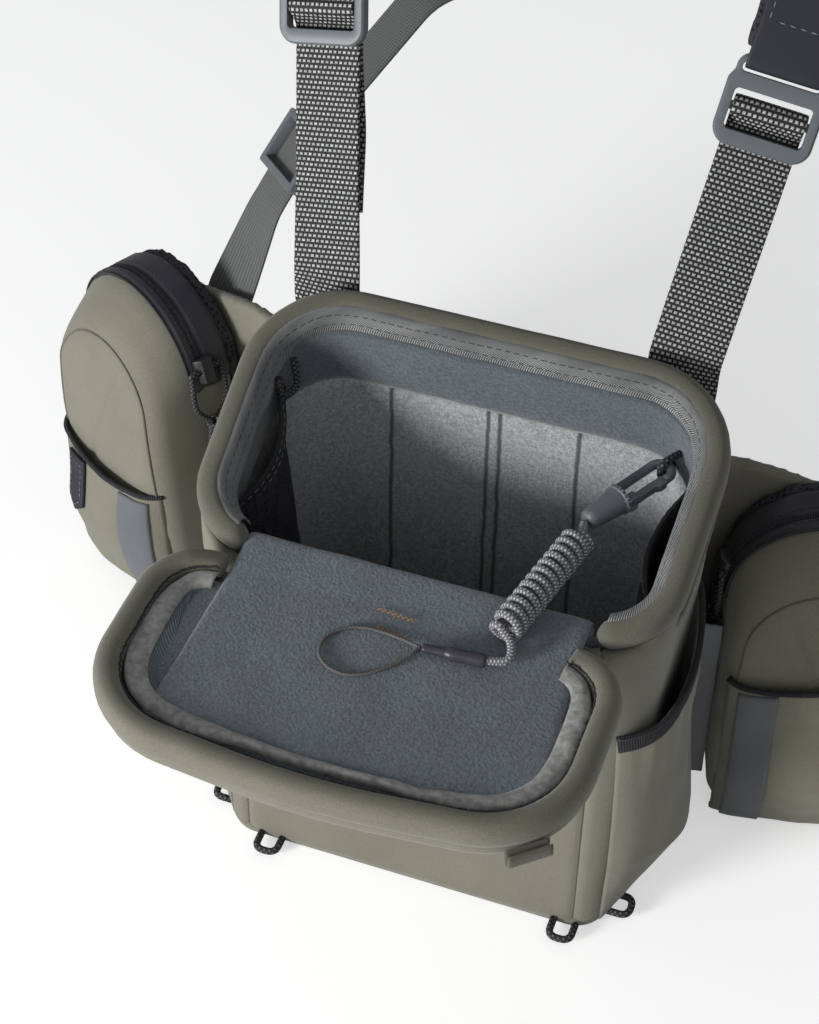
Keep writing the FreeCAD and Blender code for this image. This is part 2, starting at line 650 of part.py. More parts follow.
def arc_pipe(points, radii, radius):
    """A round cord of straight runs and bends that meet them smoothly; one bend radius per inner point."""
    pieces = []
    last = points[0]
    length = 0.0
    for i in range(1, len(points) - 1):
        here = points[i]
        back = unit(points[i - 1] - here)
        ahead = unit(points[i + 1] - here)
        half = back.getAngle(ahead) / 2
        reach = radii[i - 1] / math.tan(half)
        enter = here + back * reach
        pivot = here + unit(back + ahead) * (radii[i - 1] / math.sin(half))
        turn = math.pi - 2 * half
        if last.distanceToPoint(enter) > 0.01:
            pieces.append(cord_run(last, enter, radius))
        disc = Part.Face(Part.Wire([Part.makeCircle(radius, enter, back * -1)]))
        pieces.append(disc.revolve(pivot, unit(back.cross(ahead)) * -1, math.degrees(turn)))
        length = length + last.distanceToPoint(enter) + radii[i - 1] * turn
        last = here + ahead * reach
    pieces.append(cord_run(last, points[-1], radius))
    length = length + last.distanceToPoint(points[-1])
    pipe = pieces[0].multiFuse(pieces[1:])
    expected = math.pi * radius * radius * length
    if abs(pipe.Volume - expected) > 0.03 * expected:
        raise ValueError("cord volume does not match its length")
    return pipe


def cord_run(start, end, radius):
    """A single straight run of cord."""
    along = end - start
    return Part.makeCylinder(radius, along.Length, start, along)


def cord_radii(points):
    """Each arc takes 0.45 of the shorter of its two runs."""
    radii = []
    for i in range(1, len(points) - 1):
        before = points[i].distanceToPoint(points[i - 1])
        after = points[i + 1].distanceToPoint(points[i])
        turn = math.pi - (points[i - 1] - points[i]).getAngle(points[i + 1] - points[i])
        radii.append(0.45 * min(before, after) / math.tan(turn / 2))
    return radii


def pull_solid():
    """A cord loop through the slider's tunnel, with its knot and two tails."""
    u, top_w = tunnel_spot()
    knot_w = top_w - PULL_DROP
    spread = SLIDER_WIDTH / 2 + PULL_CORD / 2 + PULL_SPREAD
    loop = [vec(u, ZIP_COIL_AT - 1.3, knot_w), vec(u, ZIP_COIL_AT - spread, knot_w + 9.0),
            vec(u, ZIP_COIL_AT - spread, top_w), vec(u, ZIP_COIL_AT + spread, top_w),
            vec(u, ZIP_COIL_AT + spread, knot_w + 9.0), vec(u, ZIP_COIL_AT + 1.3, knot_w)]
    radii = [min(r, 3.2) for r in cord_radii(loop)]
    pull = arc_pipe(loop, radii, PULL_CORD / 2)
    knot_u = u - KNOT_HALF + PULL_CORD / 2
    knot = Part.makeCylinder(KNOT_RADIUS, 2 * KNOT_HALF, vec(knot_u - KNOT_HALF + 1.0, ZIP_COIL_AT, knot_w - 1.0),
                             vec(1, 0, 0))
    pull = pull.fuse(knot.makeChamfer(1.2, knot.Edges))
    for lean in (-3.4, 3.0):
        tail_end = vec(u, ZIP_COIL_AT + lean, knot_w - TAIL_LENGTH)
        tail_start = vec(u, ZIP_COIL_AT + lean * 0.25, knot_w - 1.0)
        pull = pull.fuse(cord_run(tail_start, tail_end, PULL_CORD / 2))
    return pull


def front_pocket_pieces(inner_z, outer_z, face):
    """The bowed pocket on the front face, with its binding, stripe and tab."""
    half = FRONT_POCKET_WIDTH / 2
    stations = [(3.5, 5.0), (34.0, FRONT_POCKET_BULGE), (FRONT_POCKET_TOP, 0.72 * FRONT_POCKET_BULGE)]
    mouth = slanted_top(outer_z, inner_z, -half, half)
    below = raise_by(mouth, -BINDING_HEIGHT / 2)
    sheet, outer = bulged_sheet(FRONT_POCKET_WIDTH, stations, POCKET_CLOTH, 14.0)
    proud = [(z, depth + BINDING_PROUD) for z, depth in stations]
    fat, _ = bulged_sheet(FRONT_POCKET_WIDTH, proud, POCKET_CLOTH + 2 * BINDING_PROUD, 14.0)
    binding = fat.common(below).cut(mouth)
    sheet = sheet.cut(below)
    # The stripe and the tab lie on the pocket, between its face and one a little further out.
    over = [(z, depth + STRIPE_THICK) for z, depth in stations]
    stripe_skin = Part.makeLoft([segment_wire(FRONT_POCKET_WIDTH, depth, 1.0, z) for z, depth in over], True, False)
    stripe_box = box((-STRIPE_INNER_U - STRIPE_WIDTH, 0.0, 8.0), (-STRIPE_INNER_U, FAR, FAR))
    stripe = stripe_skin.common(stripe_box).cut(outer).cut(raise_by(mouth, -BINDING_HEIGHT / 2 - 0.5))
    over = [(z, depth + TAB_THICK) for z, depth in stations]
    tab_skin = Part.makeLoft([segment_wire(FRONT_POCKET_WIDTH, depth, 1.0, z) for z, depth in over], True, False)
    # The tab hangs from the binding's lower edge, where that edge is lowest over the tab.
    mouth_over_tab = inner_z + (outer_z - inner_z) * (TAB_INNER_U + half) / FRONT_POCKET_WIDTH
    tab_top = mouth_over_tab - BINDING_HEIGHT / 2 - TAB_GAP
    tab_box = box((-TAB_INNER_U - TAB_WIDTH, 0.0, tab_top - TAB_LENGTH), (-TAB_INNER_U, FAR, tab_top))
    tab = tab_skin.common(tab_box).cut(outer)
    # They are made standing off a face that looks along +Y, so they are turned round to the front.
    turned = FreeCAD.Placement(vec(0, -POUCH_FRONT, 0), FreeCAD.Rotation(vec(0, 0, 1), 180))
    pieces = []
    for shape in (sheet, binding, stripe, tab):
        shape.Placement = turned
        pieces.append(shape.cut(face))
    return pieces


def make_side_pouches():
    shell = dome_slab(0.0, -POUCH_FRONT, POUCH_BACK, POUCH_FRONT_ROUNDING)
    hollow = dome_slab(POUCH_WALL, -POUCH_FRONT + POUCH_WALL, POUCH_BACK + 1.0,
                       POUCH_FRONT_ROUNDING - POUCH_WALL)
    band = dome_ring(POUCH_HALF_WIDTH - POUCH_WALL, POUCH_HALF_WIDTH, ZIP_BAND_FRONT, POUCH_BACK)
    coil_near = ZIP_COIL_AT - ZIP_COIL_WIDTH / 2
    coil = dome_ring(POUCH_HALF_WIDTH - 0.5, POUCH_HALF_WIDTH + ZIP_COIL_HEIGHT, coil_near,
                     coil_near + ZIP_COIL_WIDTH)
    shell = shell.cut(hollow).cut(band)
    band = band.fuse(coil)
    back = dome_slab(0.0, POUCH_BACK, POUCH_BACK + POUCH_BACK_THICK)

    face = dome_slab(0.0, -POUCH_FRONT, POUCH_BACK, POUCH_FRONT_ROUNDING)
    slider = slider_solid()
    pull = pull_solid()
    stripes = []
    tabs = []
    bindings = []
    for side in ("left", "right"):
        inner_z, outer_z = FRONT_POCKET_MOUTHS[side]
        sheet, binding, stripe, tab = front_pocket_pieces(inner_z, outer_z, face)
        save("side_pouch_shell_" + side, place_pouch_piece(shell, side))
        save("side_pouch_back_" + side, place_pouch_piece(back, side))
        save("zip_band_" + side, place_pouch_piece(band, side))
        save("front_pocket_" + side, place_pouch_piece(sheet, side))
        save("zip_slider_" + side, place_pouch_piece(slider, side))
        save("zip_pull_" + side, place_pouch_piece(pull, side))
        stripes.append(place_pouch_piece(stripe, side))
        tabs.append(place_pouch_piece(tab, side))
        bindings.append(place_pouch_piece(binding, side))
        place = pouch_placement(side)
        print("dome", side, [round(v, 2) for v in place.multVec(vec(0, 0, POUCH_DOME_Z))])
        sign = 1 if side == "right" else -1
        tunnel_u, tunnel_w = tunnel_spot()
        print("tunnel", side, [round(v, 2) for v in place.multVec(vec(sign * tunnel_u, ZIP_COIL_AT, tunnel_w))])
        print("zip axis", side, [round(sign * v, 4) for v in place.Rotation.multVec(vec(0, 1, 0))])
    save("pocket_stripes", Part.Compound(stripes))
    save("pocket_tabs", Part.Compound(tabs))
    return bindings


# ---------------------------------------------------------------- flat straps
def ribbon(stations, widths, thicks):
    """A flat strap through stations of (centre, across, outward); ruled between them."""
    wires = []
    for i, (centre, across, outward) in enumerate(stations):
        side = unit(across) * (widths[i] / 2)
        depth = unit(outward) * (thicks[i] / 2)
        corners = [centre - side - depth, centre + side - depth, centre + side + depth, centre - side + depth]
        corners.append(corners[0])
        wires.append(Part.makePolygon(corners))
    return Part.makeLoft(wires, True, True)


def even_ribbon(stations, width, thick):
    return ribbon(stations, [width] * len(stations), [thick] * len(stations))


def strap_frame(points, across_list):
    """Stations whose outward direction is square to the strap's run and to its width."""
    stations = []
    for i, point in enumerate(points):
        before = points[max(i - 1, 0)]
        after = points[min(i + 1, len(points) - 1)]
        along = unit(after - before)
        outward = unit(unit(across_list[i]).cross(along))
        stations.append((point, along.cross(outward), outward))
    return stations


def turned_across(degrees):
    """A strap's width direction, turned about the upright from straight sideways."""
    turn = math.radians(degrees)
    return vec(math.cos(turn), math.sin(turn), 0)


def hardware_place(centre, across, along):
    """Local x across the strap, local y up its length, local z out of its face."""
    out = unit(across.cross(along))
    return FreeCAD.Placement(centre, FreeCAD.Rotation(unit(across), unit(along), out, "ZXY"))


def lock_hole(low, high):
    """A slot right through the ladder lock, between two heights along it."""
    half = LOCK_SLOT_WIDTH / 2
    corner = min((high - low) / 2 - 0.3, 1.6)
    return prism([(half, low, corner), (half, high, corner), (-half, high, corner), (-half, low, corner)],
                 -LOCK_THICK, LOCK_THICK)


def lock_solid():
    """A ladder lock: slot and bar for the shoulder tab above, window with a gripping bar below."""
    half = LOCK_WIDTH / 2
    ear = half - LOCK_EAR_STEP
    end = LOCK_LENGTH / 2
    outline = [(half, -end, LOCK_CORNER), (half, LOCK_MIDDLE_BAR_TOP - 3.0, 2.0), (ear, LOCK_MIDDLE_BAR_TOP, 2.0),
               (ear, end, LOCK_CORNER - 1.5), (-ear, end, LOCK_CORNER - 1.5), (-ear, LOCK_MIDDLE_BAR_TOP, 2.0),
               (-half, LOCK_MIDDLE_BAR_TOP - 3.0, 2.0), (-half, -end, LOCK_CORNER)]
    plate = prism(outline, -LOCK_THICK / 2, LOCK_THICK / 2)
    plate = bevelled_levels(plate, LOCK_BEVEL, [-LOCK_THICK / 2, LOCK_THICK / 2])
    plate = plate.cut(lock_hole(LOCK_WINDOW_LOW, LOCK_WINDOW_HIGH))
    plate = plate.cut(lock_hole(LOCK_MIDDLE_BAR_TOP, end - LOCK_TOP_BAR))
    bar = prism([(half - 1.5, LOCK_GRIP_LOW, 0.9), (half - 1.5, LOCK_GRIP_HIGH, 0.9),
                 (-half + 1.5, LOCK_GRIP_HIGH, 0.9), (-half + 1.5, LOCK_GRIP_LOW, 0.9)], -1.8, 0.8)
    return plate.fuse(bar)


def glide_solid():
    """A triple glide: two end bars in front of the webbing and a middle bar behind it."""
    half_w = WEBBING_WIDTH / 2 + 1.0
    rail = 3.0
    half_l = GLIDE_LENGTH / 2
    front = WEBBING / 2 + CONTACT_GAP
    frame = None
    for low in (-half_w - rail, half_w):
        high = low + rail
        side = prism([(high, -half_l, 1.4), (high, half_l, 1.4), (low, half_l, 1.4), (low, -half_l, 1.4)],
                     -front - GLIDE_BAR, front + GLIDE_BAR)
        frame = side if frame is None else frame.fuse(side)
    reach = half_w + rail / 2
    for low in (-half_l, half_l - GLIDE_BAR):
        frame = frame.fuse(box((-reach, low, front), (reach, low + GLIDE_BAR, front + GLIDE_BAR)))
    frame = frame.fuse(box((-reach, -GLIDE_BAR / 2, -front - GLIDE_BAR), (reach, GLIDE_BAR / 2, -front)))
    return frame.removeSplitter()


def lock_level(centre, along, out, spots):
    """Points given as (distance up the lock, distance out of its face) from the lock's centre."""
    return [centre + along * up + out * proud for up, proud in spots]


def make_front_strap(side):
    """Webbing from the pouch's back up through the lock, over its gripping bar and down as a tail."""
    strap = FRONT_STRAPS[side]
    foot, rim, top = strap["foot"], strap["rim"], strap["top"]
    along = unit(top - rim)
    flat = vec(1, 0, 0)
    across = turned_across(strap["turn"])
    out = unit(across.cross(along))
    across = along.cross(out)
    near = LOCK_THICK / 2 + CONTACT_GAP + WEBBING / 2
    far = near + WEBBING + CONTACT_GAP
    over = 0.8 + CONTACT_GAP + WEBBING / 2
    centre = top + along * (LOCK_LENGTH / 2) + out * near
    below = -LOCK_LENGTH / 2
    threaded = [(below - 3.0, -near), (below + 6.8, -near), (LOCK_GRIP_LOW - 1.9, -0.6), (LOCK_GRIP_LOW, over),
                (LOCK_GRIP_HIGH, over), (LOCK_GRIP_HIGH + 1.9, 0.4), (LOCK_GRIP_HIGH + 1.9, -far + 1.4),
                (LOCK_GRIP_HIGH - 0.6, -far), (below - 3.0, -far), (below - 30.0, -far - TAIL_BULGE),
                (below - TAIL_OF_STRAP, -far - 1.0)]
    lifted = [foot, rim - vec(0, 0, 12.0), rim, rim + (top - rim) * 0.45]
    points = lifted + lock_level(centre, along, out, threaded)
    turns = [flat, flat, turned_across(strap["turn"] * 0.3), across] + [across] * len(threaded)
    save("front_strap_" + side, even_ribbon(strap_frame(points, turns), WEBBING_WIDTH, WEBBING))
    lock = lock_solid()
    lock.Placement = hardware_place(centre, across, along)
    save("ladder_lock_" + side, lock)
    return centre, across, along, out


def yoke_point(across, up):
    """A point in the middle of the yoke's thickness."""
    lean = math.radians(YOKE_LEAN)
    return YOKE_CENTRE + vec(across, up * math.cos(lean), up * math.sin(lean))


def make_shoulder(side, centre, across, along, out):
    """The dark tab that is folded through the lock's slot and the padded strap over the shoulder."""
    sign = 1 if side == "right" else -1
    end = LOCK_LENGTH / 2
    width = LOCK_SLOT_WIDTH - 1.4
    wrap = LOCK_THICK / 2 + CONTACT_GAP + HYPALON / 2
    hem = PAD_END_THICK / 2 + CONTACT_GAP + HYPALON / 2
    fold_at = end - LOCK_TOP_BAR - 1.7
    spots = [(end + SHOULDER_TAB, hem), (fold_at + 1.7, wrap), (fold_at, wrap - 1.0), (fold_at, 1.0 - wrap),
             (fold_at + 1.7, -wrap), (end + SHOULDER_TAB, -hem)]
    points = lock_level(centre, along, out, spots)
    tab = even_ribbon(strap_frame(points, [across] * len(points)), width, HYPALON)

    start = centre + along * (end + 1.6)
    sewn = centre + along * (end + SHOULDER_TAB + 2.0)
    last = yoke_point(sign * 27.0, YOKE_TOP + CONTACT_GAP)
    points = [start, sewn, vec(sign * 92, 170, 356), vec(sign * 80, 212, 372), vec(sign * 56, 256, 366),
              last + (yoke_point(0, 22.0) - yoke_point(0, 0)), last]
    turns = [across, across, vec(1, 0, 0), vec(1, -sign * 0.25, 0), vec(1, -sign * 0.4, 0), vec(1, 0, 0), vec(1, 0, 0)]
    widths = [30.0, 32.0, PAD_WIDTH, PAD_WIDTH, PAD_WIDTH - 4.0, 42.0, 38.0]
    thicks = [PAD_END_THICK, PAD_END_THICK] + [PAD_THICK] * 5
    pad = ribbon(strap_frame(points, turns), widths, thicks)
    save("shoulder_pad_" + side, pad)
    return tab


def make_straps():
    tabs = []
    for side in ("left", "right"):
        centre, across, along, out = make_front_strap(side)
        tabs.append(make_shoulder(side, centre, across, along, out))
        make_rear_strap(side)
    save("shoulder_tabs", Part.Compound(tabs))
    yoke = prism([(YOKE_HALF_WIDTH - 10.0, -YOKE_TOP, 14.0), (YOKE_HALF_WIDTH, YOKE_TOP, 8.0),
                  (-YOKE_HALF_WIDTH, YOKE_TOP, 8.0), (-YOKE_HALF_WIDTH + 10.0, -YOKE_TOP, 14.0)],
                 -PAD_THICK / 2, PAD_THICK / 2)
    yoke = bevelled_levels(yoke, 2.0, [-PAD_THICK / 2, PAD_THICK / 2])
    yoke.rotate(vec(0, 0, 0), vec(1, 0, 0), YOKE_LEAN)
    yoke.translate(YOKE_CENTRE)
    save("yoke", yoke)


def make_rear_strap(side):
    """Webbing from behind the side pouch through the glide to the yoke."""
    sign = 1 if side == "right" else -1
    strap = REAR_STRAPS[side]
    glide = strap["glide"]
    depth = POUCH_BACK_FACE + WING_THICK + WING_BEND + CONTACT_GAP + WEBBING / 2
    spot = pouch_point(side, strap["foot_u"], depth)
    foot = vec(spot[0], spot[1], strap["foot_z"])
    lift = vec(spot[0], spot[1], strap["lift_z"])
    along = unit(strap["far"] - lift)
    flat = turned_across(POUCH_SPOTS[side][3])
    across = flat + vec(0, 0, -0.55 * sign)
    out = unit(across.cross(along))
    across = along.cross(out)
    reach = GLIDE_LENGTH / 2 + GLIDE_TRAVEL + 2.0
    last = yoke_point(sign * 20.0, -YOKE_TOP - CONTACT_GAP)
    above = last + (yoke_point(0, -24.0) - yoke_point(0, 0))
    points = [foot, lift, glide - along * reach, glide + along * reach, strap["far"] + along * 8.0, above, last]
    sideways = vec(1, 0, -0.25 * sign)
    turns = [flat, flat, across, across, across, sideways, vec(1, 0, 0)]
    save("rear_strap_" + side, even_ribbon(strap_frame(points, turns), WEBBING_WIDTH, WEBBING))
    clip = glide_solid()
    clip.Placement = hardware_place(glide, across, along)
    save("triglide_" + side, clip)
    print("glide", side, [round(v, 1) for v in glide], "axis", [round(v, 4) for v in along])


def upright_sheet(path, low, thick):
    """A standing sheet along a plan path of (x, y, top height)."""
    stations = []
    widths = []
    for i, (x, y, top) in enumerate(path):
        before = path[max(i - 1, 0)]
        after = path[min(i + 1, len(path) - 1)]
        along = unit(vec(after[0] - before[0], after[1] - before[1], 0))
        stations.append((vec(x, y, (low + top) / 2), vec(0, 0, 1), along.cross(vec(0, 0, 1))))
        widths.append(top - low)
    return ribbon(stations, widths, [thick] * len(path))


def make_wings():
    """Padded wings that carry the side pouches, and the smooth gussets in front of them."""
    back_y = RIM_BACK_Y + WING_THICK / 2 + CONTACT_GAP
    gussets = []
    for side in ("left", "right"):
        sign = 1 if side == "right" else -1
        depth = POUCH_BACK_FACE + CONTACT_GAP + WING_THICK / 2
        inner = pouch_point(side, WING_REACH[side][0], depth + WING_BEND)
        outer = pouch_point(side, WING_REACH[side][1], depth)
        path = [(sign * WING_ROOT_X, back_y, WING_ROOT_Z), (sign * (WING_ROOT_X + 18.0), back_y + 1.5, WING_ROOT_Z),
                (inner[0], inner[1], WING_INNER_Z), (outer[0], outer[1], WING_OUTER_Z)]
        save("wing_" + side, upright_sheet(path, WING_LOW_Z, WING_THICK))
        start_y, end_v, high = GUSSET_SPOTS[side]
        end = pouch_point(side, POUCH_HALF_WIDTH, end_v)
        path = [(sign * (BASE_HALF_WIDTH - 8.0), start_y, high), (end[0], end[1], high)]
        sheet = upright_sheet(path, GUSSET_LOW_Z, GUSSET_THICK)
        beyond = box((-POUCH_HALF_WIDTH - CONTACT_GAP, -FAR, -FAR), (FAR, FAR, FAR))
        sheet = sheet.cut(pouch_block(-CONTACT_GAP, 0.0, TAPER_HEIGHT)).cut(place_pouch_piece(beyond, side))
        gussets.append(sheet)
    save("wing_gussets", Part.Compound(gussets))


# ---------------------------------------------------------------- cord loops
def make_lash_loops():
    """Small cord loops that stand out of the base seam."""
    loops = []
    for x, y, facing in LASH_SPOTS:
        turn = math.radians(facing)
        ahead = vec(math.cos(turn), math.sin(turn), 0)
        beside = vec(-ahead.y, ahead.x, 0)
        foot = vec(x, y, LASH_Z)
        points = [foot - beside * LASH_HALF, foot - beside * LASH_HALF + ahead * LASH_REACH,
                  foot + beside * LASH_HALF + ahead * LASH_REACH, foot + beside * LASH_HALF]
        loops.append(arc_pipe(points, [LASH_HALF - 0.2] * 2, LASH_CORD / 2))
    save("lash_loops", Part.Compound(loops))


def make_inner_loops():
    """The cord loop in the left inner corner and the anchor loop that the hook is clipped to."""
    hanging = [vec(-74.0, 19.5, 172.5), vec(-72.9, 19.0, 163.5), vec(-70.0, 27.5, 163.0), vec(-72.4, 30.0, 173.5)]
    anchor = [HOOK_WALL_HIGH, hook_point(HOOK_CORD_AT, 0.0, HOOK_CORD_LEVEL),
              hook_point(HOOK_CORD_AT, 0.0, -HOOK_CORD_LEVEL), HOOK_WALL_LOW]
    loops = []
    for points in (hanging, anchor):
        radii = cord_radii(points)
        print("cord radii", [round(r, 2) for r in radii])
        loops.append(arc_pipe(points, radii, LOOP_CORD / 2))
    save("inner_loops", Part.Compound(loops))


# ---------------------------------------------------------------- tether
def hook_axes():
    """The hook's own directions: along it to the tip, to its arm's side, and out of its flat."""
    along = unit(HOOK_TIP - HOOK_TAIL)
    out = unit(vec(0, 0, 1) - along * along.z)
    return along, out.cross(along), out


def hook_point(along, beside, out):
    ahead, side, up = hook_axes()
    return HOOK_TAIL + ahead * along + side * beside + up * out


def hook_place():
    ahead, side, up = hook_axes()
    return FreeCAD.Placement(HOOK_TAIL, FreeCAD.Rotation(ahead, side, up, "ZXY"))


def make_hook():
    """A moulded clip: a conical barrel with a collar, a round arm bent into a nose, a forked ear
    with its pin, and a gate that turns on that pin."""
    radius = HOOK_BARREL
    profile = [(0.0, 0.0), (0.0, radius - 2.0), (0.8, radius - 1.4), (HOOK_COLLAR - 1.6, radius),
               (HOOK_COLLAR - 1.2, radius + 0.6), (HOOK_COLLAR, radius + 0.6), (HOOK_COLLAR + 0.5, radius - 0.4),
               (HOOK_COLLAR + 0.5, 0.0)]
    corners = [vec(x, y, 0) for x, y in profile]
    corners.append(corners[0])
    body = Part.Face(Part.makePolygon(corners)).revolve(vec(0, 0, 0), vec(1, 0, 0), 360)
    # The arm runs forward, round the nose and a little way back.
    level = HOOK_NOSE
    arm = arc_pipe([vec(HOOK_COLLAR - 2.0, level, 0), vec(HOOK_NOSE_AT + level, level, 0),
                    vec(HOOK_NOSE_AT + level, -level, 0), vec(HOOK_NOSE_AT - 1.7, -level, 0)],
                   [level, level], HOOK_ARM / 2)
    body = body.fuse(arm)
    for low in (-GATE_HALF - 1.25, GATE_HALF + 0.25):
        ear = prism([(HOOK_COLLAR, -5.3, 0.3), (GATE_PIN_AT + 1.5, -5.3, 1.2), (GATE_PIN_AT + 1.5, -1.8, 1.2),
                     (HOOK_COLLAR, -1.8, 0.3)], low, low + 1.0)
        body = body.fuse(ear)
    pin = Part.makeCylinder(0.65, 2 * GATE_HALF + 2.0, vec(GATE_PIN_AT, GATE_PIN_LEVEL, -GATE_HALF - 1.0))
    body = body.fuse(pin)
    body.Placement = hook_place()
    save("hook_body", body)

    tip = HOOK_NOSE_AT - 1.7 - CONTACT_GAP
    gate = prism([(GATE_PIN_AT - 1.3, GATE_PIN_LEVEL + 1.3, 1.25), (GATE_PIN_AT - 1.3, GATE_PIN_LEVEL - 1.3, 1.25),
                  (tip - 4.6, GATE_PIN_LEVEL - 1.4, 0.8), (tip - 3.2, GATE_PIN_LEVEL - 2.4, 0.8),
                  (tip, GATE_PIN_LEVEL - 2.4, 0.5), (tip, GATE_PIN_LEVEL + 1.1, 0.5)], -GATE_HALF, GATE_HALF)
    gate = gate.cut(Part.makeCylinder(0.9, 10.0, vec(GATE_PIN_AT, GATE_PIN_LEVEL, -5.0)))
    gate.Placement = hook_place()
    save("hook_gate", gate)
    pivot = hook_point(GATE_PIN_AT, GATE_PIN_LEVEL, 0.0)
    print("gate pivot", [round(v, 2) for v in pivot], "axis", [round(v, 4) for v in hook_axes()[2]])


def make_tether():
    """A coiled elastic cord from the hook to a sleeve that holds a thin loop, lying on the lid."""
    run = COIL_END - COIL_START
    save("tether_coil", Part.makeCylinder(COIL_RADIUS, run.Length, COIL_START, run))
    tail = hook_point(-LEAD_GAP, 0.0, 0.0)
    first = cord_run(tail, COIL_START - unit(run) * 0.8, ELASTIC_CORD / 2)
    second_points = [COIL_END + vec(4.0, -1.9, -1.6), COIL_END + vec(5.5, -8.2, -3.7), SLEEVE_START]
    second_radii = cord_radii(second_points)
    print("lead radii", [round(r, 2) for r in second_radii])
    second = arc_pipe(second_points, second_radii, ELASTIC_CORD / 2)
    save("tether_lead", Part.Compound([first, second]))

    sleeve_run = SLEEVE_END - SLEEVE_START
    thick = sleeve_run.Length * 0.55
    ahead = unit(sleeve_run)
    sleeve = Part.makeCylinder(SLEEVE_RADIUS, thick, SLEEVE_START + ahead * CONTACT_GAP, ahead)
    cone = Part.makeCone(SLEEVE_RADIUS, SLEEVE_RADIUS - 0.7, sleeve_run.Length - thick,
                         SLEEVE_START + ahead * (thick + CONTACT_GAP), ahead)
    save("tether_sleeve", sleeve.fuse(cone))

    radii = cord_radii(THIN_LOOP)
    print("thin loop radii", [round(r, 2) for r in radii])
    save("tether_loop", arc_pipe(THIN_LOOP, radii, THIN_CORD / 2))


make_main_pouch()
make_rim()
bindings = make_stretch_pockets()
make_mesh_pockets()
make_lid()
bindings.extend(make_side_pouches())
save("pocket_bindings", Part.Compound(bindings))
make_wings()
make_straps()
make_lash_loops()
make_inner_loops()
make_hook()
make_tether()
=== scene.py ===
"""A chest pack for field glasses: main pouch with its lid open, two side pouches and the harness."""
import math

import bpy
import numpy as np
from mathutils import Matrix, Vector, noise


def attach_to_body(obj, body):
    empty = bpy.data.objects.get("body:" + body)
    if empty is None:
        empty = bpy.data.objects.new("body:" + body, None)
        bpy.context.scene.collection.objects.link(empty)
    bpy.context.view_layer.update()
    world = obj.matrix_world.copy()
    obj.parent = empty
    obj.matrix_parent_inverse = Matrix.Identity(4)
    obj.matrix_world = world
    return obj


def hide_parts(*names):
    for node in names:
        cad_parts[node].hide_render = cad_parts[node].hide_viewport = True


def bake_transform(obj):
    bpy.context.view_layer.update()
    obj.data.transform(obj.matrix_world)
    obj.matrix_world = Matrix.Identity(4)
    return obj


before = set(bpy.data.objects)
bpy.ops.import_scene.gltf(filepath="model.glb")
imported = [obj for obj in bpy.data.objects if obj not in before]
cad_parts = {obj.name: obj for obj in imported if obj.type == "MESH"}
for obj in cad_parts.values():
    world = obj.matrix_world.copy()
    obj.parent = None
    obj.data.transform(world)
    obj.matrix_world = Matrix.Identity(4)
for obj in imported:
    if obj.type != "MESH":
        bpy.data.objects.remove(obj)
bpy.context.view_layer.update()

bl_info = {
    "name": "Field Glasses Harness Pack",
    "version": (1, 0, 0),
    "blender": (4, 5, 0),
    "location": "3D View > Sidebar > Pack",
    "description": "Builds the cloth, webbing, cords and fittings of a chest pack over its frame",
    "category": "Add Mesh",
}

MM = 0.001      # sizes below are in millimetres, and meshes are in metres
WEBBING_PITCH, DASH_PITCH = 0.0018, 0.00185      # metres between the webbing's rows, and its dashes

# ---- Main pouch ----
BASE_HALF_WIDTH, RIM_HALF_WIDTH = 75.0, 88.0
BASE_FRONT_Y, RIM_FRONT_Y = -50.0, -45.0
BASE_BACK_Y, RIM_BACK_Y = 46.0, 50.0
BASE_FRONT_RADIUS, RIM_FRONT_RADIUS = 12.0, 27.0
BASE_BACK_RADIUS, RIM_BACK_RADIUS = 22.0, 36.0
TAPER_HEIGHT = 200.0
SHELL = 2.6
LINER = 4.0
BASE_LINER_TOP = 9.0
FRONT_SEAM_X = 65.0
BACK_SEAM_X = 58.0
HINGE_Y, HINGE_Z = -45.0, 157.0
RIM_SLOPE = 21.8            # degrees
HINGE_HALF = 63.0
ROLL_HEIGHT, ROLL_PROUD = 13.0, 1.0
ROLL_SEEN, ROLL_INSET = 9.9, 4.6       # the roll inside its tape, and its middle line
GROSGRAIN = 1.2
FLEECE_BAND_DROP = 30.0
LINER_SEAMS = (-40.0, -3.0, 1.6, 31.0)

# ---- Lid ----
LID_HALF_WIDTH, LID_SHIFT = 84.0, -5.0
LID_SIDE_LENGTH, LID_LENGTH = 86.0, 94.0
LID_BACK_GAP = 3.4
LID_HINGE_RADIUS, LID_FRONT_RADIUS = 24.0, 37.0
LID_ROLL_WIDTH, LID_ROLL_HEIGHT, LID_ROLL_SEEN = 10.0, 11.0, 9.0

# ---- Pockets on and in the main pouch ----
SIDE_POCKET_MOUTH = (-44.0, 106.0), (22.0, 122.0)         # (y, z) of the mouth's front and back end
SIDE_POCKET_DEPTHS = ((5.0, 7.0), (34.0, 19.0), (78.0, 11.8), (130.0, 6.0))
BINDING_HEIGHT = 7.0
MESH_MOUTH = (-22.0, 144.0), (26.0, 166.0)
MESH_DEPTHS = ((9.0, 5.0), (60.0, 11.0), (168.0, 9.5))

# ---- Side pouches ----
POUCH_HALF_WIDTH = 35.0
POUCH_DOME_Z = 103.0
POUCH_FRONT, POUCH_BACK, POUCH_BACK_THICK = 24.0, 18.0, 6.0
POUCH_CORNER, POUCH_ROUNDING = 16.0, 10.0
POUCH_BACK_FACE = POUCH_BACK + POUCH_BACK_THICK
ZIP_BAND_FRONT = 0.0
ZIP_COIL_AT, COIL_TEETH = 6.0, 120
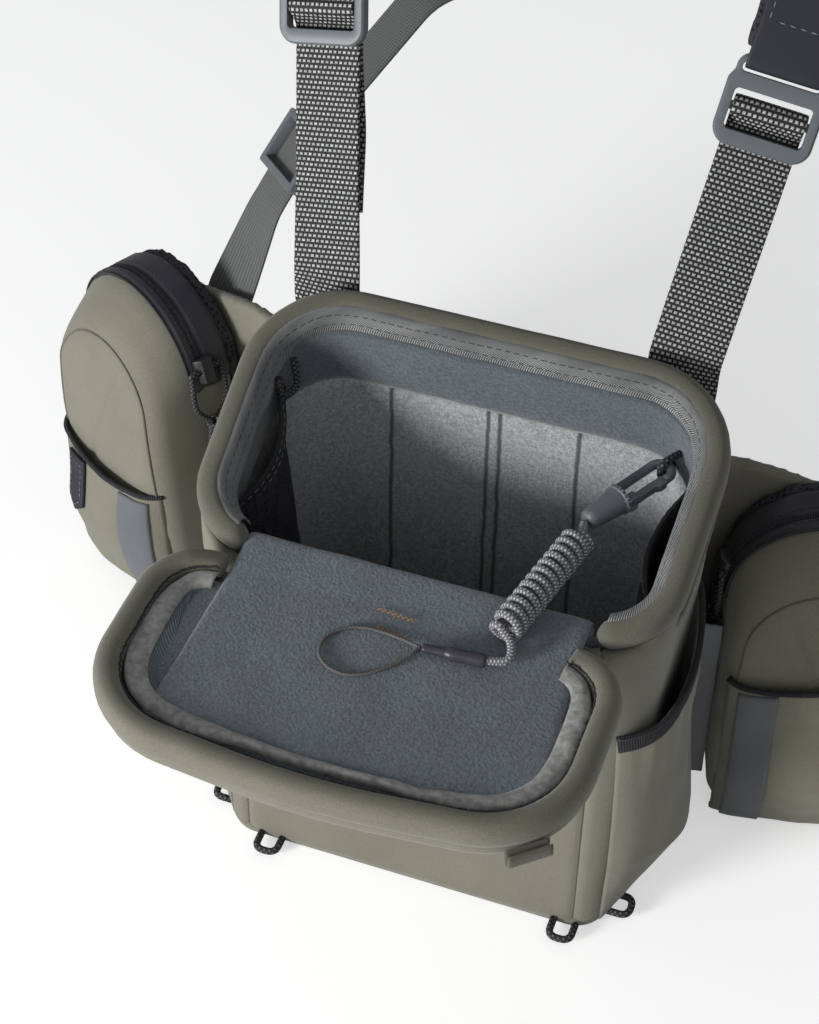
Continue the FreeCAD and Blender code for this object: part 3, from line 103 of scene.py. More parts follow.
# Each side pouch's place (x, y, lift), its turn and its lean in degrees.
POUCH_SPOTS = {"left": (-151.0, 76.0, 5.0, -29.0, 7.0), "right": (124.5, 49.0, 0.0, 16.0, 0.0)}
POUCH_MIDDLE = 68.0         # height of a side pouch's middle
LEAN_FROM, LEAN_IN, LEAN_BACK, LEAN_DOWN = 62.0, 0.14, 6.0, 16.0
POUCH_SEAM_AT = 1.6
MOUTH_HUG, MOUTH_HUG_AT = 0.5, 66.0       # how far a front pocket draws in towards its mouth
FRONT_POCKET_HALF = 32.5
FRONT_POCKET_DEPTHS = ((3.5, 5.0), (34.0, 13.0), (104.0, 9.4))
POCKET_MOUTHS = {"left": (60.0, 68.0), "right": (80.0, 92.0)}
STRIPE_EDGES = (-29.0, -15.0)
TAB_EDGES = (7.0, 20.0)
SLIDER_CLEARANCE, SLIDER_WIDTH, TUNNEL_AT = 0.3, 8.4, 3.2
SLIDER_REST, SLIDER_SWEEP = 176.0, 14.6       # degrees round the dome
PULL_CORD, PULL_SPREAD, PULL_DROP, TAIL_LENGTH = 2.2, 2.0, 25.0, 13.0

# ---- Straps ----
WEBBING_WIDTH, WEBBING = 25.4, 1.6
LOCK_LENGTH, LOCK_THICK, LOCK_SLOT_WIDTH, LOCK_TOP_BAR = 31.0, 4.4, 27.0, 3.0
GRIP_HIGH, GRIP_LOW = -1.2, -4.0
CONTACT_GAP = 0.3
TAIL_BULGE, TAIL_OF_STRAP = 3.0, 58.0
TAB_CLOTH = 1.4
SHOULDER_TAB = 42.0
PAD_END_THICK = 5.0
YOKE_CENTRE = Vector((0, 262, 292))
YOKE_TOP, YOKE_LEAN = 30.0, 68.0
FRONT_STRAPS = {
    "left": (Vector((-66, 56.6, 152.6)), Vector((-70, 57.1, 190)), Vector((-82.5, 95, 262)), -12.0),
    "right": (Vector((60, 56.6, 152.6)), Vector((62, 57.1, 190)), Vector((71, 94, 255)), 10.0),
}
REAR_STRAPS = {
    "left": (-4.0, Vector((-109.5, 128, 186.5)), Vector((-80, 175, 228))),
    "right": (14.0, Vector((138, 118, 190)), Vector((112, 180, 238))),
}

GLIDE_REACH = 22.0          # the webbing stays straight so far on both sides of a tri-glide

# ---- Tether ----
HOOK_TAIL = Vector((46.4, -1.8, 162.5))
COIL_START, COIL_END = Vector((46.6, -9.5, 162.4)), Vector((34.3, -56.0, 158.6))
LEAD_GAP = 1.2
COIL_TURNS, COIL_LINE_RADIUS, ELASTIC_CORD = 13, 4.6, 2.8
SLEEVE_START, SLEEVE_END = Vector((32.3, -66.3, 154.7)), Vector((11.0, -67.9, 154.6))
# The shrunk sleeve's size over its cord, by the share of its length.
SLEEVE_SIZES = ((0.0, 1.7), (0.01, 2.35), (0.1, 2.5), (0.3, 2.35), (0.5, 2.5), (0.56, 2.4), (0.62, 1.85),
                (0.8, 1.7), (0.96, 1.75), (0.99, 1.5), (1.0, 1.0))
THIN_CORD = 1.2
THIN_LOOP = [(10.2, -67.3, 153.9), (-1.0, -64.0, 152.8), (-14.0, -64.5, 152.8), (-21.6, -72.0, 152.8),
             (-20.4, -82.0, 152.8), (-10.0, -87.0, 152.8), (2.0, -80.5, 152.8), (10.2, -68.5, 153.9)]

# ---- Colours, as shares of the light that they reflect ----
OLIVE = (0.205, 0.196, 0.15)
BLUE_GREY = (0.122, 0.152, 0.18)
PALE_FLEECE = (0.42, 0.44, 0.452)
ORANGE_THREAD = (0.42, 0.19, 0.06)
MOULDED_GREY = (0.135, 0.15, 0.165)
DARK_METAL = (0.06, 0.06, 0.068)


# ---------------------------------------------------------------- shader helpers
class Value:
    """A shader socket that Python's operators act on."""

    def __init__(self, finish, socket):
        self.finish = finish
        self.socket = socket

    def maths(self, operation, other, swapped=False):
        first, second = (other, self) if swapped else (self, other)
        return self.finish.node("ShaderNodeMath", {"operation": operation}, {0: first, 1: second})

    def __add__(self, other):
        return self.maths("ADD", other)

    __radd__ = __add__

    def __sub__(self, other):
        return self.maths("SUBTRACT", other)

    def __rsub__(self, other):
        return self.maths("SUBTRACT", other, True)

    def __mul__(self, other):
        return self.maths("MULTIPLY", other)

    __rmul__ = __mul__

    def __gt__(self, other):
        return self.maths("GREATER_THAN", other)

    def wave(self):
        """A sine of this value from 0 to 1."""
        return self.maths("SINE", 0.0) * 0.5 + 0.5

    def ribs(self, pitch):
        """A sine from 0 to 1 that comes back every pitch."""
        return (self * (2 * math.pi / pitch)).wave()

    def size(self):
        return self.maths("ABSOLUTE", 0.0)


class Finish:
    """A material whose nodes are added one call at a time."""

    def __init__(self, name, roughness=0.9, **settings):
        self.material = bpy.data.materials.new(name)
        self.material.use_nodes = True
        self.tree = self.material.node_tree
        self.shader = self.tree.nodes["Principled BSDF"]
        self.shader.inputs["Roughness"].default_value = roughness
        for key, value in settings.items():
            self.shader.inputs[key.replace("_", " ")].default_value = value

    def feed(self, socket, value):
        if isinstance(value, Value):
            self.tree.links.new(value.socket, socket)
        elif isinstance(value, tuple) and len(value) == 3 and socket.type == "RGBA":
            socket.default_value = (*value, 1.0)
        else:
            socket.default_value = value

    def node(self, kind, settings=None, inputs=None, output=0):
        made = self.tree.nodes.new(kind)
        for key, value in (settings or {}).items():
            setattr(made, key, value)
        for key, value in (inputs or {}).items():
            self.feed(made.inputs[key], value)
        return Value(self, made.outputs[output])

    def place(self, kind="Object"):
        return self.node("ShaderNodeTexCoord", output=kind)

    def axes(self, kind="Object"):
        """The place on the piece as three values."""
        split = self.node("ShaderNodeSeparateXYZ", inputs={0: self.place(kind)}).socket.node
        return [Value(self, split.outputs[i]) for i in range(3)]

    def grain(self, scale, detail=2.0, kind="Object"):
        """Fine uneven tone, about 0.5 on average; scale is per metre."""
        inputs = {"Vector": self.place(kind), "Scale": scale, "Detail": detail}
        return self.node("ShaderNodeTexNoise", inputs=inputs)

    def blend(self, factor, first, second):
        mixed = self.tree.nodes.new("ShaderNodeMix")
        mixed.data_type = "RGBA"
        self.feed(mixed.inputs["Factor"], factor)
        self.feed(mixed.inputs[6], first)
        self.feed(mixed.inputs[7], second)
        return Value(self, mixed.outputs[2])

    def steps(self, factor, low, high):
        """0 below low, 1 above high, and even between them."""
        return self.node("ShaderNodeMapRange", inputs={"Value": factor, "From Min": low, "From Max": high})

    def colour(self, value):
        self.feed(self.shader.inputs["Base Color"], value)

    def rough(self, value):
        self.feed(self.shader.inputs["Roughness"], value)

    def bump(self, height, distance, strength=1.0):
        """Raise the surface by height, which runs from 0 to 1, times distance in metres."""
        inputs = {"Height": height, "Distance": distance, "Strength": strength}
        self.feed(self.shader.inputs["Normal"], self.node("ShaderNodeBump", inputs=inputs))


def shade(colour, factor):
    return tuple(min(1.0, part * factor) for part in colour)


# ---------------------------------------------------------------- finishes
def cloth_finish(name, colour, contrast=0.16):
    """Stretch-woven cloth: a close matt face with a fine speckle and faint clouding."""
    made = Finish(name, 0.88, Sheen_Weight=0.25, Sheen_Roughness=0.5)
    fine = made.grain(1900.0, 3.0)
    cloud = made.grain(38.0, 3.0)
    tone = made.steps(fine * 0.72 + cloud * 0.28, 0.32, 0.68)
    made.colour(made.blend(tone, shade(colour, 1 - contrast), shade(colour, 1 + contrast)))
    made.bump(fine, 0.00012, 0.6)
    return made.material


def fleece_finish(name, colour):
    """Short fleece: soft nubs and lighter tips."""
    made = Finish(name, 0.95, Sheen_Weight=0.5, Sheen_Roughness=0.6)
    nubs = made.grain(950.0, 4.0)
    cloud = made.grain(46.0, 2.0)
    tone = made.steps(nubs * 0.8 + cloud * 0.2, 0.34, 0.66)
    made.colour(made.blend(tone, shade(colour, 0.66), shade(colour, 1.34)))
    made.bump(nubs, 0.0007, 0.8)
    return made.material


def liner_finish(name, colour):
    """Mottled fleece-faced lining with its sewn seams drawn dark."""
    made = Finish(name, 0.95, Sheen_Weight=0.4, Sheen_Roughness=0.6)
    nubs = made.grain(620.0, 4.0) * 0.4 + made.grain(1700.0, 3.0) * 0.6
    tone = made.steps(nubs, 0.4, 0.64)
    across, _, _ = made.axes()
    wander = made.grain(90.0, 2.0) * 0.0016 - 0.0008
    seams = [1 - made.steps((across + wander - at * MM).size(), 0.0003, 0.0011) for at in LINER_SEAMS]
    line = sum(seams[1:], seams[0])
    base = made.blend(tone, shade(colour, 0.62), shade(colour, 1.4))
    made.colour(made.blend(line, base, shade(colour, 0.16)))
    made.bump(nubs - line * 0.7, 0.001, 0.8)
    return made.material


def webbing_finish(name):
    """Black and white webbing: rows of short pale dashes across it, with dark rows between."""
    made = Finish(name, 0.75)
    along, across, _ = made.axes("UV")
    rows = along * (1 / WEBBING_PITCH)
    step = rows.maths("FLOOR", 0.0) * 2.3 + made.grain(500.0, 1.0, kind="UV")
    dash = made.steps((across * (2 * math.pi / DASH_PITCH) + step).wave(), 0.2, 0.5)
    cover = made.steps(rows.ribs(1.0), 0.3, 0.62) * dash
    cloud = made.grain(420.0, 2.0, kind="UV")
    pale = made.blend(made.steps(cloud, 0.35, 0.65), (0.36, 0.365, 0.355), (0.62, 0.63, 0.61))
    made.colour(made.blend(cover, (0.013, 0.013, 0.014), pale))
    made.bump(cover, 0.0004, 0.8)
    return made.material


def plain_webbing_finish(name):
    """Grey webbing: ribs along its length, crossed by finer picks."""
    made = Finish(name, 0.72, Sheen_Weight=0.2)
    along, across, _ = made.axes("UV")
    tone = across.ribs(WEBBING_PITCH) * 0.65 + along.ribs(0.0012) * 0.35
    made.colour(made.blend(tone, (0.06, 0.062, 0.062), (0.15, 0.153, 0.153)))
    made.bump(tone, 0.0003, 0.7)
    return made.material


def grosgrain_finish(name):
    """Ribbed tape: dark and pale ribs across it, with two rows of stitches."""
    made = Finish(name, 0.7, Sheen_Weight=0.2)
    along, across, _ = made.axes("UV")
    waver = made.grain(260.0, 1.0, kind="UV") * 2.0
    ribs = (along * (2 * math.pi / 0.00085) + waver).wave()
    bright = made.grain(60.0, 1.0, kind="UV")
    pale = made.blend(made.steps(bright, 0.35, 0.7), (0.3, 0.31, 0.31), (0.5, 0.51, 0.51))
    base = made.blend(made.steps(ribs, 0.18, 0.66), (0.03, 0.03, 0.033), pale)
    upper, lower = (1 - made.steps((across - at).size(), 0.00012, 0.0003) for at in (0.0038, 0.0078))
    dash = along.ribs(0.0033) > 0.3
    made.colour(made.blend((upper + lower) * dash, base, (0.02, 0.02, 0.022)))
    made.bump(ribs, 0.0003, 0.7)
    return made.material


def mesh_finish(name, colour):
    """Spacer mesh: rows of small dark holes in a knitted ground."""
    made = Finish(name, 0.85)
    spots = made.node("ShaderNodeTexVoronoi", {"feature": "F1"},
                      {"Vector": made.place(), "Scale": 520.0, "Randomness": 0.35})
    hole = 1 - made.steps(spots, 0.24, 0.42)
    made.colour(made.blend(hole, colour, (0.006, 0.006, 0.008)))
    made.bump(1 - hole, 0.0006, 0.9)
    return made.material


def ribbed_finish(name, dark, pale, pitch):
    """Elastic or knitted strip with ribs across it."""
    made = Finish(name, 0.85)
    along, _, _ = made.axes("UV")
    ribs = (along * (2 * math.pi / pitch) + made.grain(300.0, 2.0) * 2.5).wave()
    made.colour(made.blend(ribs, dark, pale))
    made.bump(ribs, 0.0004, 0.8)
    return made.material


def heather_finish(name):
    """Heathered binding cloth, light grey with short streaks."""
    made = Finish(name, 0.9, Sheen_Weight=0.3)
    streaks = made.grain(420.0, 5.0)
    cloud = made.grain(70.0, 2.0)
    tone = made.steps(streaks * 0.65 + cloud * 0.35, 0.36, 0.64)
    made.colour(made.blend(tone, (0.21, 0.207, 0.202), (0.44, 0.435, 0.42)))
    made.bump(streaks, 0.0005, 0.7)
    return made.material


def coated_finish(name, colour, roughness):
    """Coated cloth: smooth, dark and a little glossy."""
    made = Finish(name, roughness, Specular_IOR_Level=0.45)
    fine = made.grain(900.0, 3.0)
    cloud = made.grain(55.0, 2.0)
    made.colour(made.blend(cloud, shade(colour, 0.85), shade(colour, 1.2)))
    made.rough(fine * 0.16 + (roughness - 0.08))
    made.bump(fine, 0.00006, 0.6)
    return made.material


def plastic_finish(name):
    """Satin moulded plastic with a faint texture."""
    made = Finish(name, 0.42, Specular_IOR_Level=0.5)
    fine = made.grain(2600.0, 2.0)
    made.colour(made.blend(made.grain(120.0, 2.0), shade(MOULDED_GREY, 0.93), shade(MOULDED_GREY, 1.08)))
    made.rough(fine * 0.14 + 0.35)
    made.bump(fine, 0.00003, 0.5)
    return made.material


def braid_finish(name, dark=(0.02, 0.02, 0.024), pale=(0.13, 0.135, 0.145), pitch=0.0019):
    """Braided cord: diamonds of pale and dark strands wound both ways."""
    made = Finish(name, 0.75)
    along, around, _ = made.axes("UV")
    ahead, wound = along * (2 * math.pi / pitch), around * (2 * math.pi * 3)
    one, other = (ahead + wound).wave(), (ahead - wound).wave()
    made.colour(made.blend(made.steps(one * other, 0.28, 0.62), dark, pale))
    made.bump(one * 0.5 + other * 0.5, 0.0003, 0.8)
    return made.material


def metal_finish(name):
    """Dark plated metal, a little worn."""
    made = Finish(name, 0.38, Metallic=0.6)
    made.rough(made.grain(800.0, 3.0) * 0.2 + 0.28)
    made.colour(made.blend(made.grain(300.0, 3.0), shade(DARK_METAL, 0.85), shade(DARK_METAL, 1.25)))
    return made.material


def thread_finish(name, colour):
    made = Finish(name, 0.7)
    twist = made.grain(2400.0, 1.0)
    made.colour(made.blend(twist, shade(colour, 0.7), shade(colour, 1.3)))
    made.bump(twist, 0.00008, 0.6)
    return made.material


# Each finish's maker, and what it is given after the name.
FINISHES = {
    "olive_cloth": (cloth_finish, OLIVE),
    # A darker copy of the olive cloth: painted shade for the lid's roll.
    "olive_rolled": (cloth_finish, shade(OLIVE, 0.86), 0.2),
    # A much darker copy of the olive cloth: painted shade for the rim's roll and fold, the lid's tab and the
    # side pouches' seams.
    "olive_rim": (cloth_finish, shade(OLIVE, 0.66), 0.2),
    "fleece": (fleece_finish, BLUE_GREY),
    # A darker copy of the fleece: painted shade for the fleece inside the main pouch and for the foam under
    # the lid's strips.
    "fleece_dark": (fleece_finish, shade(BLUE_GREY, 0.72)),
    "pale_fleece": (liner_finish, PALE_FLEECE),
    "stripe": (cloth_finish, (0.135, 0.145, 0.158), 0.08),
    "gusset": (cloth_finish, (0.24, 0.255, 0.275), 0.06),
    "light_strip": (cloth_finish, (0.135, 0.16, 0.18), 0.06),
    "ribbed_strip": (ribbed_finish, shade(BLUE_GREY, 0.75), shade(BLUE_GREY, 1.5), 0.0016),
    "heather": (heather_finish,),
    "webbing": (webbing_finish,),
    "plain_webbing": (plain_webbing_finish,),
    "grosgrain": (grosgrain_finish,),
    "binding": (ribbed_finish, (0.017, 0.017, 0.021), (0.036, 0.037, 0.044), 0.0009),
    "mesh": (mesh_finish, (0.03, 0.03, 0.037)),
    "back_mesh": (mesh_finish, (0.045, 0.047, 0.057)),
    "tab_cloth": (coated_finish, (0.019, 0.02, 0.028), 0.6),
    "zip_tape": (coated_finish, (0.046, 0.043, 0.054), 0.38),
    "sleeve": (coated_finish, (0.05, 0.047, 0.065), 0.36),
    "hardware": (plastic_finish,),
    "slider": (metal_finish,),
    "cord": (braid_finish,),
    "elastic": (braid_finish, (0.17, 0.17, 0.185), (0.66, 0.665, 0.68), 0.0012),
    "thin_cord": (braid_finish, (0.1, 0.098, 0.095), (0.27, 0.26, 0.25), 0.0012),
    "orange_thread": (thread_finish, ORANGE_THREAD),
    "brown_thread": (thread_finish, (0.17, 0.1, 0.05)),
    "dark_thread": (thread_finish, (0.03, 0.03, 0.035)),
    "pale_thread": (thread_finish, (0.22, 0.22, 0.25)),
}
MADE = {}


def finish(name):
    """The material of that name, made when it is first asked for."""
    if name not in MADE:
        maker, *settings = FINISHES[name]
        MADE[name] = maker(name, *settings)
    return MADE[name]


# ---------------------------------------------------------------- mesh helpers
def only(piece):
    """Select one object and nothing else."""
    bpy.ops.object.select_all(action="DESELECT")
    piece.select_set(True)
    bpy.context.view_layer.objects.active = piece


def linked(name, data):
    """An object of the scene that holds this data."""
    made = bpy.data.objects.new(name, data)
    bpy.context.scene.collection.objects.link(made)
    return made


def new_piece(name, points, faces, finish_name, coords=None):
    """A mesh object from points in millimetres; coords gives each point's place on the cloth, in metres."""
    mesh = bpy.data.meshes.new(name)
    mesh.from_pydata([tuple(c * MM for c in p) for p in points], [], faces)
    if coords is not None:
        layer = mesh.uv_layers.new(name="cloth")
        index = np.zeros(len(mesh.loops), dtype=np.int32)
        mesh.loops.foreach_get("vertex_index", index)
        flat = np.asarray(coords, dtype=np.float32)[index]
        layer.data.foreach_set("uv", flat.ravel())
    mesh.polygons.foreach_set("use_smooth", [True] * len(mesh.polygons))
    mesh.materials.append(finish(finish_name))
    return linked(name, mesh)


def apply_all(piece):
    only(piece)
    for modifier in list(piece.modifiers):
        bpy.ops.object.modifier_apply(modifier=modifier.name)
    return piece


def thicken(piece, thickness):
    """Give a sheet its thickness, in millimetres, on its inner side."""
    modifier = piece.modifiers.new("thickness", "SOLIDIFY")
    modifier.thickness = thickness * MM
    modifier.offset = -1.0
    modifier.use_even_offset = False
    return apply_all(piece)


def outward(piece):
    """Turn every face of a closed piece outwards."""
    only(piece)
    bpy.ops.object.mode_set(mode="EDIT")
    bpy.ops.mesh.select_all(action="SELECT")
    bpy.ops.mesh.remove_doubles(threshold=0.00002)
    bpy.ops.mesh.normals_make_consistent(inside=False)
    bpy.ops.object.mode_set(mode="OBJECT")
    return piece


def attach(piece, body, slot, *nodes):
    """Say what a finished piece moves with and which nodes it stands for. slot, what it is made of, is not
    used.
    """
    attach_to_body(piece, body)
    if nodes:
        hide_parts(*nodes)


def quads(rows, columns, closed=False, first=0):
    """Faces between rows of points; closed joins each row's two ends."""
    faces = []
    for here in range(first, first + (rows - 1) * columns, columns):
        for j in range(columns if closed else columns - 1):
            k = (j + 1) % columns
            faces.append((here + j, here + k, here + columns + k, here + columns + j))
    return faces


def fan(edge, hub, turned):
    """Triangles from an edge's points to one point."""
    faces = [(a, b, hub) for a, b in zip(edge, edge[1:])]
    return [face[::-1] for face in faces] if turned else faces


def grid(name, points, finish_name, coords, flip=False):
    """A sheet from rows of points."""
    points = np.asarray(points)
    faces = quads(*points.shape[:2])
    if flip:
        faces = [face[::-1] for face in faces]
    return new_piece(name, points.reshape(-1, 3), faces, finish_name, np.asarray(coords).reshape(-1, 2))


def rings(name, loops, finish_name, coords):
    """A closed form from rings of points, its two ends filled."""
    loops = [np.asarray(loop, float) for loop in loops]
    count = len(loops[0])
    points = [tuple(p) for loop in loops for p in loop]
    faces = quads(len(loops), count, closed=True)
    for i in (0, len(loops) - 1):
        points.append(tuple(loops[i].mean(0)))
        faces.extend(fan([*range(i * count, (i + 1) * count), i * count], len(points) - 1, i == 0))
    flat = [tuple(c) for row in coords for c in row]
    flat.extend([flat[0], flat[-1]])
    return outward(new_piece(name, points, faces, finish_name, flat))


def unit_rows(vectors):
    return vectors / np.maximum(np.linalg.norm(vectors, axis=1, keepdims=True), 1e-9)


def distances(path):
    """How far along a path each of its points lies."""
    steps = np.linalg.norm(np.diff(path, axis=0), axis=1)
    return np.concatenate([[0.0], np.cumsum(steps)])


def even(path, count):
    """The same path with evenly spaced points."""
    run = distances(path)
    spots = np.linspace(0, run[-1], count)
    return np.stack([np.interp(spots, run, path[:, i]) for i in range(path.shape[1])], axis=1)


def smooth_path(points, count):
    """A curve through all the points (Catmull-Rom), evenly spaced."""
    points = np.asarray(points, float)
    padded = np.vstack([2 * points[0] - points[1], points, 2 * points[-1] - points[-2]])
    out = []
    for i in range(1, len(padded) - 2):
        p0, p1, p2, p3 = padded[i - 1:i + 3]
        for t in np.linspace(0, 1, 16, endpoint=False):
            out.append(0.5 * (2 * p1 + (p2 - p0) * t + (2 * p0 - 5 * p1 + 4 * p2 - p3) * t * t
                              + (3 * p1 - p0 - 3 * p2 + p3) * t ** 3))
    out.append(padded[-2])
    return even(np.array(out), count)


def oval(wide, high, power=2.6, count=24):
    """A rounded section, counterclockwise."""
    angle = np.linspace(0, 2 * math.pi, count, endpoint=False)
    x = np.sign(np.cos(angle)) * np.abs(np.cos(angle)) ** (2 / power) * wide / 2
    y = np.sign(np.sin(angle)) * np.abs(np.sin(angle)) ** (2 / power) * high / 2
    return np.stack([x, y], axis=1)


def sweep(name, path, across, up, section, finish_name, scale=None, waver=0.0, waver_size=14.0):
    """Draw a section along a path; across and up carry it, and scale resizes it at each point."""
    path, across, up = np.asarray(path), np.asarray(across), np.asarray(up)
    run = distances(path) * MM
    girth = distances(np.vstack([section, section[:1]]))[:-1] * MM
    loops = []
    coords = []
    for i in range(len(path)):
        sx, sy = (1.0, 1.0) if scale is None else scale[i]
        loop = path[i] + section[:, :1] * sx * across[i] + section[:, 1:] * sy * up[i]
        if waver:
            for j in range(len(loop)):
                shift = noise.noise(Vector(loop[j]) / waver_size) * waver
                loop[j] += shift * (across[i] * section[j, 0] + up[i] * section[j, 1]) / (
                    max(1e-6, np.linalg.norm(section[j])))
        loops.append(loop)
        coords.append([(run[i], g) for g in girth])
    return rings(name, loops, finish_name, coords)


def carried(path, first_up):
    """Frames that follow a path without twisting."""
    along = unit_rows(np.gradient(path, axis=0))
    up = np.array(first_up, float)
    ups = []
    for step in along:
        up = up - step * np.dot(up, step)
        up = up / np.linalg.norm(up)
        ups.append(up)
    ups = np.array(ups)
    return np.cross(along, ups), ups


def route(points, resolution=6):
    """The points of a smooth cord line whose control points are given, in millimetres."""
    line = bpy.data.curves.new("route", "CURVE")
    line.dimensions = "3D"
    spline = line.splines.new("NURBS")
    spline.points.add(len(points) - 1)
    for i, p in enumerate(points):
        spline.points[i].co = (p[0] * MM, p[1] * MM, p[2] * MM, 1.0)
    spline.order_u = 3
    spline.use_endpoint_u = True
    spline.resolution_u = resolution
    holder = linked("route", line)
    mesh = bpy.data.meshes.new_from_object(holder.evaluated_get(bpy.context.evaluated_depsgraph_get()))
    found = np.array([tuple(v.co) for v in mesh.vertices]) / MM
    bpy.data.objects.remove(holder)
    bpy.data.meshes.remove(mesh)
    bpy.data.curves.remove(line)
    return found


def round_loop(spot, across, up, radius, sides):
    angle = np.linspace(0, 2 * math.pi, sides, endpoint=False)
    return spot + radius * (np.cos(angle)[:, None] * across + np.sin(angle)[:, None] * up)


def tube(name, path, radius, finish_name, sides=12):
    """A round cord along a path; its coords run along it and once round it."""
    path = np.asarray(path, float)
    run = distances(path) * MM
    # One more column, so that the pattern joins up round the cord.
    columns = sides + 1
    points = []
    coords = []
    for spot, across, up, along in zip(path, *carried(path, (0.13, 0.2, 1.0)), run):
        loop = round_loop(spot, across, up, radius, sides)
        points.extend(tuple(loop[j % sides]) for j in range(columns))
        coords.extend((along, j / sides) for j in range(columns))
    faces = quads(len(path), columns)
    for i in (0, len(path) - 1):
        points.append(tuple(path[i]))
        coords.append((run[i], 0.5))
        faces.extend(fan(range(i * columns, (i + 1) * columns), len(points) - 1, i == 0))
    return outward(new_piece(name, points, faces, finish_name, coords))


def joined(name, pieces):
    """One object from several."""
    only(pieces[0])
    for piece in pieces:
        piece.select_set(True)
    if len(pieces) > 1:
        bpy.ops.object.join()
    made = bpy.context.view_layer.objects.active
    made.name = name
    made.data.name = name
    return made


def stitches(name, path, finish_name, length=2.4, gap=1.3, radius=0.24):
    """A row of short raised threads along a path."""
    path = np.asarray(path, float)
    run = distances(path)
    points = []
    faces = []
    start = 0.4
    while start + length < run[-1]:
        spots = np.linspace(start, start + length, 4)
        dash = np.stack([np.interp(spots, run, path[:, i]) for i in range(3)], axis=1)
        base = len(points)
        for spot, across, up, share in zip(dash, *carried(dash, (0.1, 0.3, 1.0)), (0.45, 1.0, 1.0, 0.45)):
            points.extend(tuple(p) for p in round_loop(spot, across, up, radius * share, 6))
        faces.extend(quads(4, 6, closed=True, first=base))
        faces.append(tuple(range(base, base + 6))[::-1])
        faces.append(tuple(range(base + 18, base + 24)))
        start += length + gap
    return new_piece(name, points, faces, finish_name)


def copied(node, name):
    """A copy of a frame piece, its points joined up."""
    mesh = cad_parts[node].data.copy()
    mesh.name = name
    return outward(linked(name, mesh))


def dress(piece, finish_name):
    piece.data.materials.clear()
    piece.data.materials.append(finish(finish_name))
    return piece


def soften(node, name, finish_name, voxel, rounds, waver, waver_size=22.0):
    """A soft copy of a frame piece: even skin, rounded edges and slight unevenness."""
    made = copied(node, name)
    remesh = made.modifiers.new("skin", "REMESH")
    remesh.mode = "VOXEL"
    remesh.voxel_size = voxel * MM
    remesh.use_smooth_shade = True
    smooth = made.modifiers.new("soft", "SMOOTH")
    smooth.factor = 0.5
    smooth.iterations = rounds
    apply_all(made)
    coords = np.zeros(len(made.data.vertices) * 3)
    normals = np.zeros(len(made.data.vertices) * 3)
    made.data.vertices.foreach_get("co", coords)
    made.data.vertices.foreach_get("normal", normals)
    coords, normals = coords.reshape(-1, 3), normals.reshape(-1, 3)
    shift = np.array([waver * noise.noise(Vector(c) / (waver_size * MM)) for c in coords])
    coords += normals * shift[:, None] * MM
    made.data.vertices.foreach_set("co", coords.ravel())
    return dress(made, finish_name)


# ---------------------------------------------------------------- outlines
def outline(corners, arc_steps=10, straight_steps=24):
    """Points (x, y) round a closed outline of (x, y, radius) corners, from the middle of its last side."""
    count = len(corners)
    stops = []
    for i in range(count):
        here = np.array(corners[i][:2], float)
        back = unit_rows(np.array([corners[i - 1][:2]]) - here)[0]
        ahead = unit_rows(np.array([corners[(i + 1) % count][:2]]) - here)[0]
        half = math.acos(max(-1.0, min(1.0, float(np.dot(back, ahead))))) / 2
        radius = corners[i][2]
        inward = unit_rows(np.array([back + ahead]))[0]
        centre = here + inward * radius / math.sin(half)
        reach = radius / math.tan(half)
        start = here + back * reach - centre
        end = here + ahead * reach - centre
        a0 = math.atan2(start[1], start[0])
        turn = (math.atan2(end[1], end[0]) - a0 + math.pi) % (2 * math.pi) - math.pi
        angles = np.linspace(a0, a0 + turn, arc_steps + 1)
        stops.append(centre + radius * np.stack([np.cos(angles), np.sin(angles)], axis=1))
    points = []
    half_steps = straight_steps // 2
    middle = (stops[-1][-1] + stops[0][0]) / 2
    points.extend(middle + (stops[0][0] - middle) * t for t in np.linspace(0, 1, half_steps, endpoint=False))
    for i in range(count):
        points.extend(stops[i])
        if i < count - 1:
            onward = stops[i + 1][0]
            points.extend(stops[i][-1] + (onward - stops[i][-1]) * t
                          for t in np.linspace(0, 1, straight_steps + 1)[1:-1])
    points.extend(stops[-1][-1] + (middle - stops[-1][-1]) * t
                  for t in np.linspace(0, 1, half_steps + 1)[1:-1])
    return np.array(points)


def taper(base, rim, z):
    return base + (rim - base) * z / TAPER_HEIGHT


def slanted(low, high, share):
    return low + (high - low) * share


def pouch_corners(z, inset):
    half = taper(BASE_HALF_WIDTH, RIM_HALF_WIDTH, z) - inset
    front = taper(BASE_FRONT_Y, RIM_FRONT_Y, z) + inset
    back = taper(BASE_BACK_Y, RIM_BACK_Y, z) - inset
    front_r = taper(BASE_FRONT_RADIUS, RIM_FRONT_RADIUS, z) - inset
    back_r = taper(BASE_BACK_RADIUS, RIM_BACK_RADIUS, z) - inset
    return [(half, front, front_r), (half, back, back_r), (-half, back, back_r), (-half, front, front_r)]


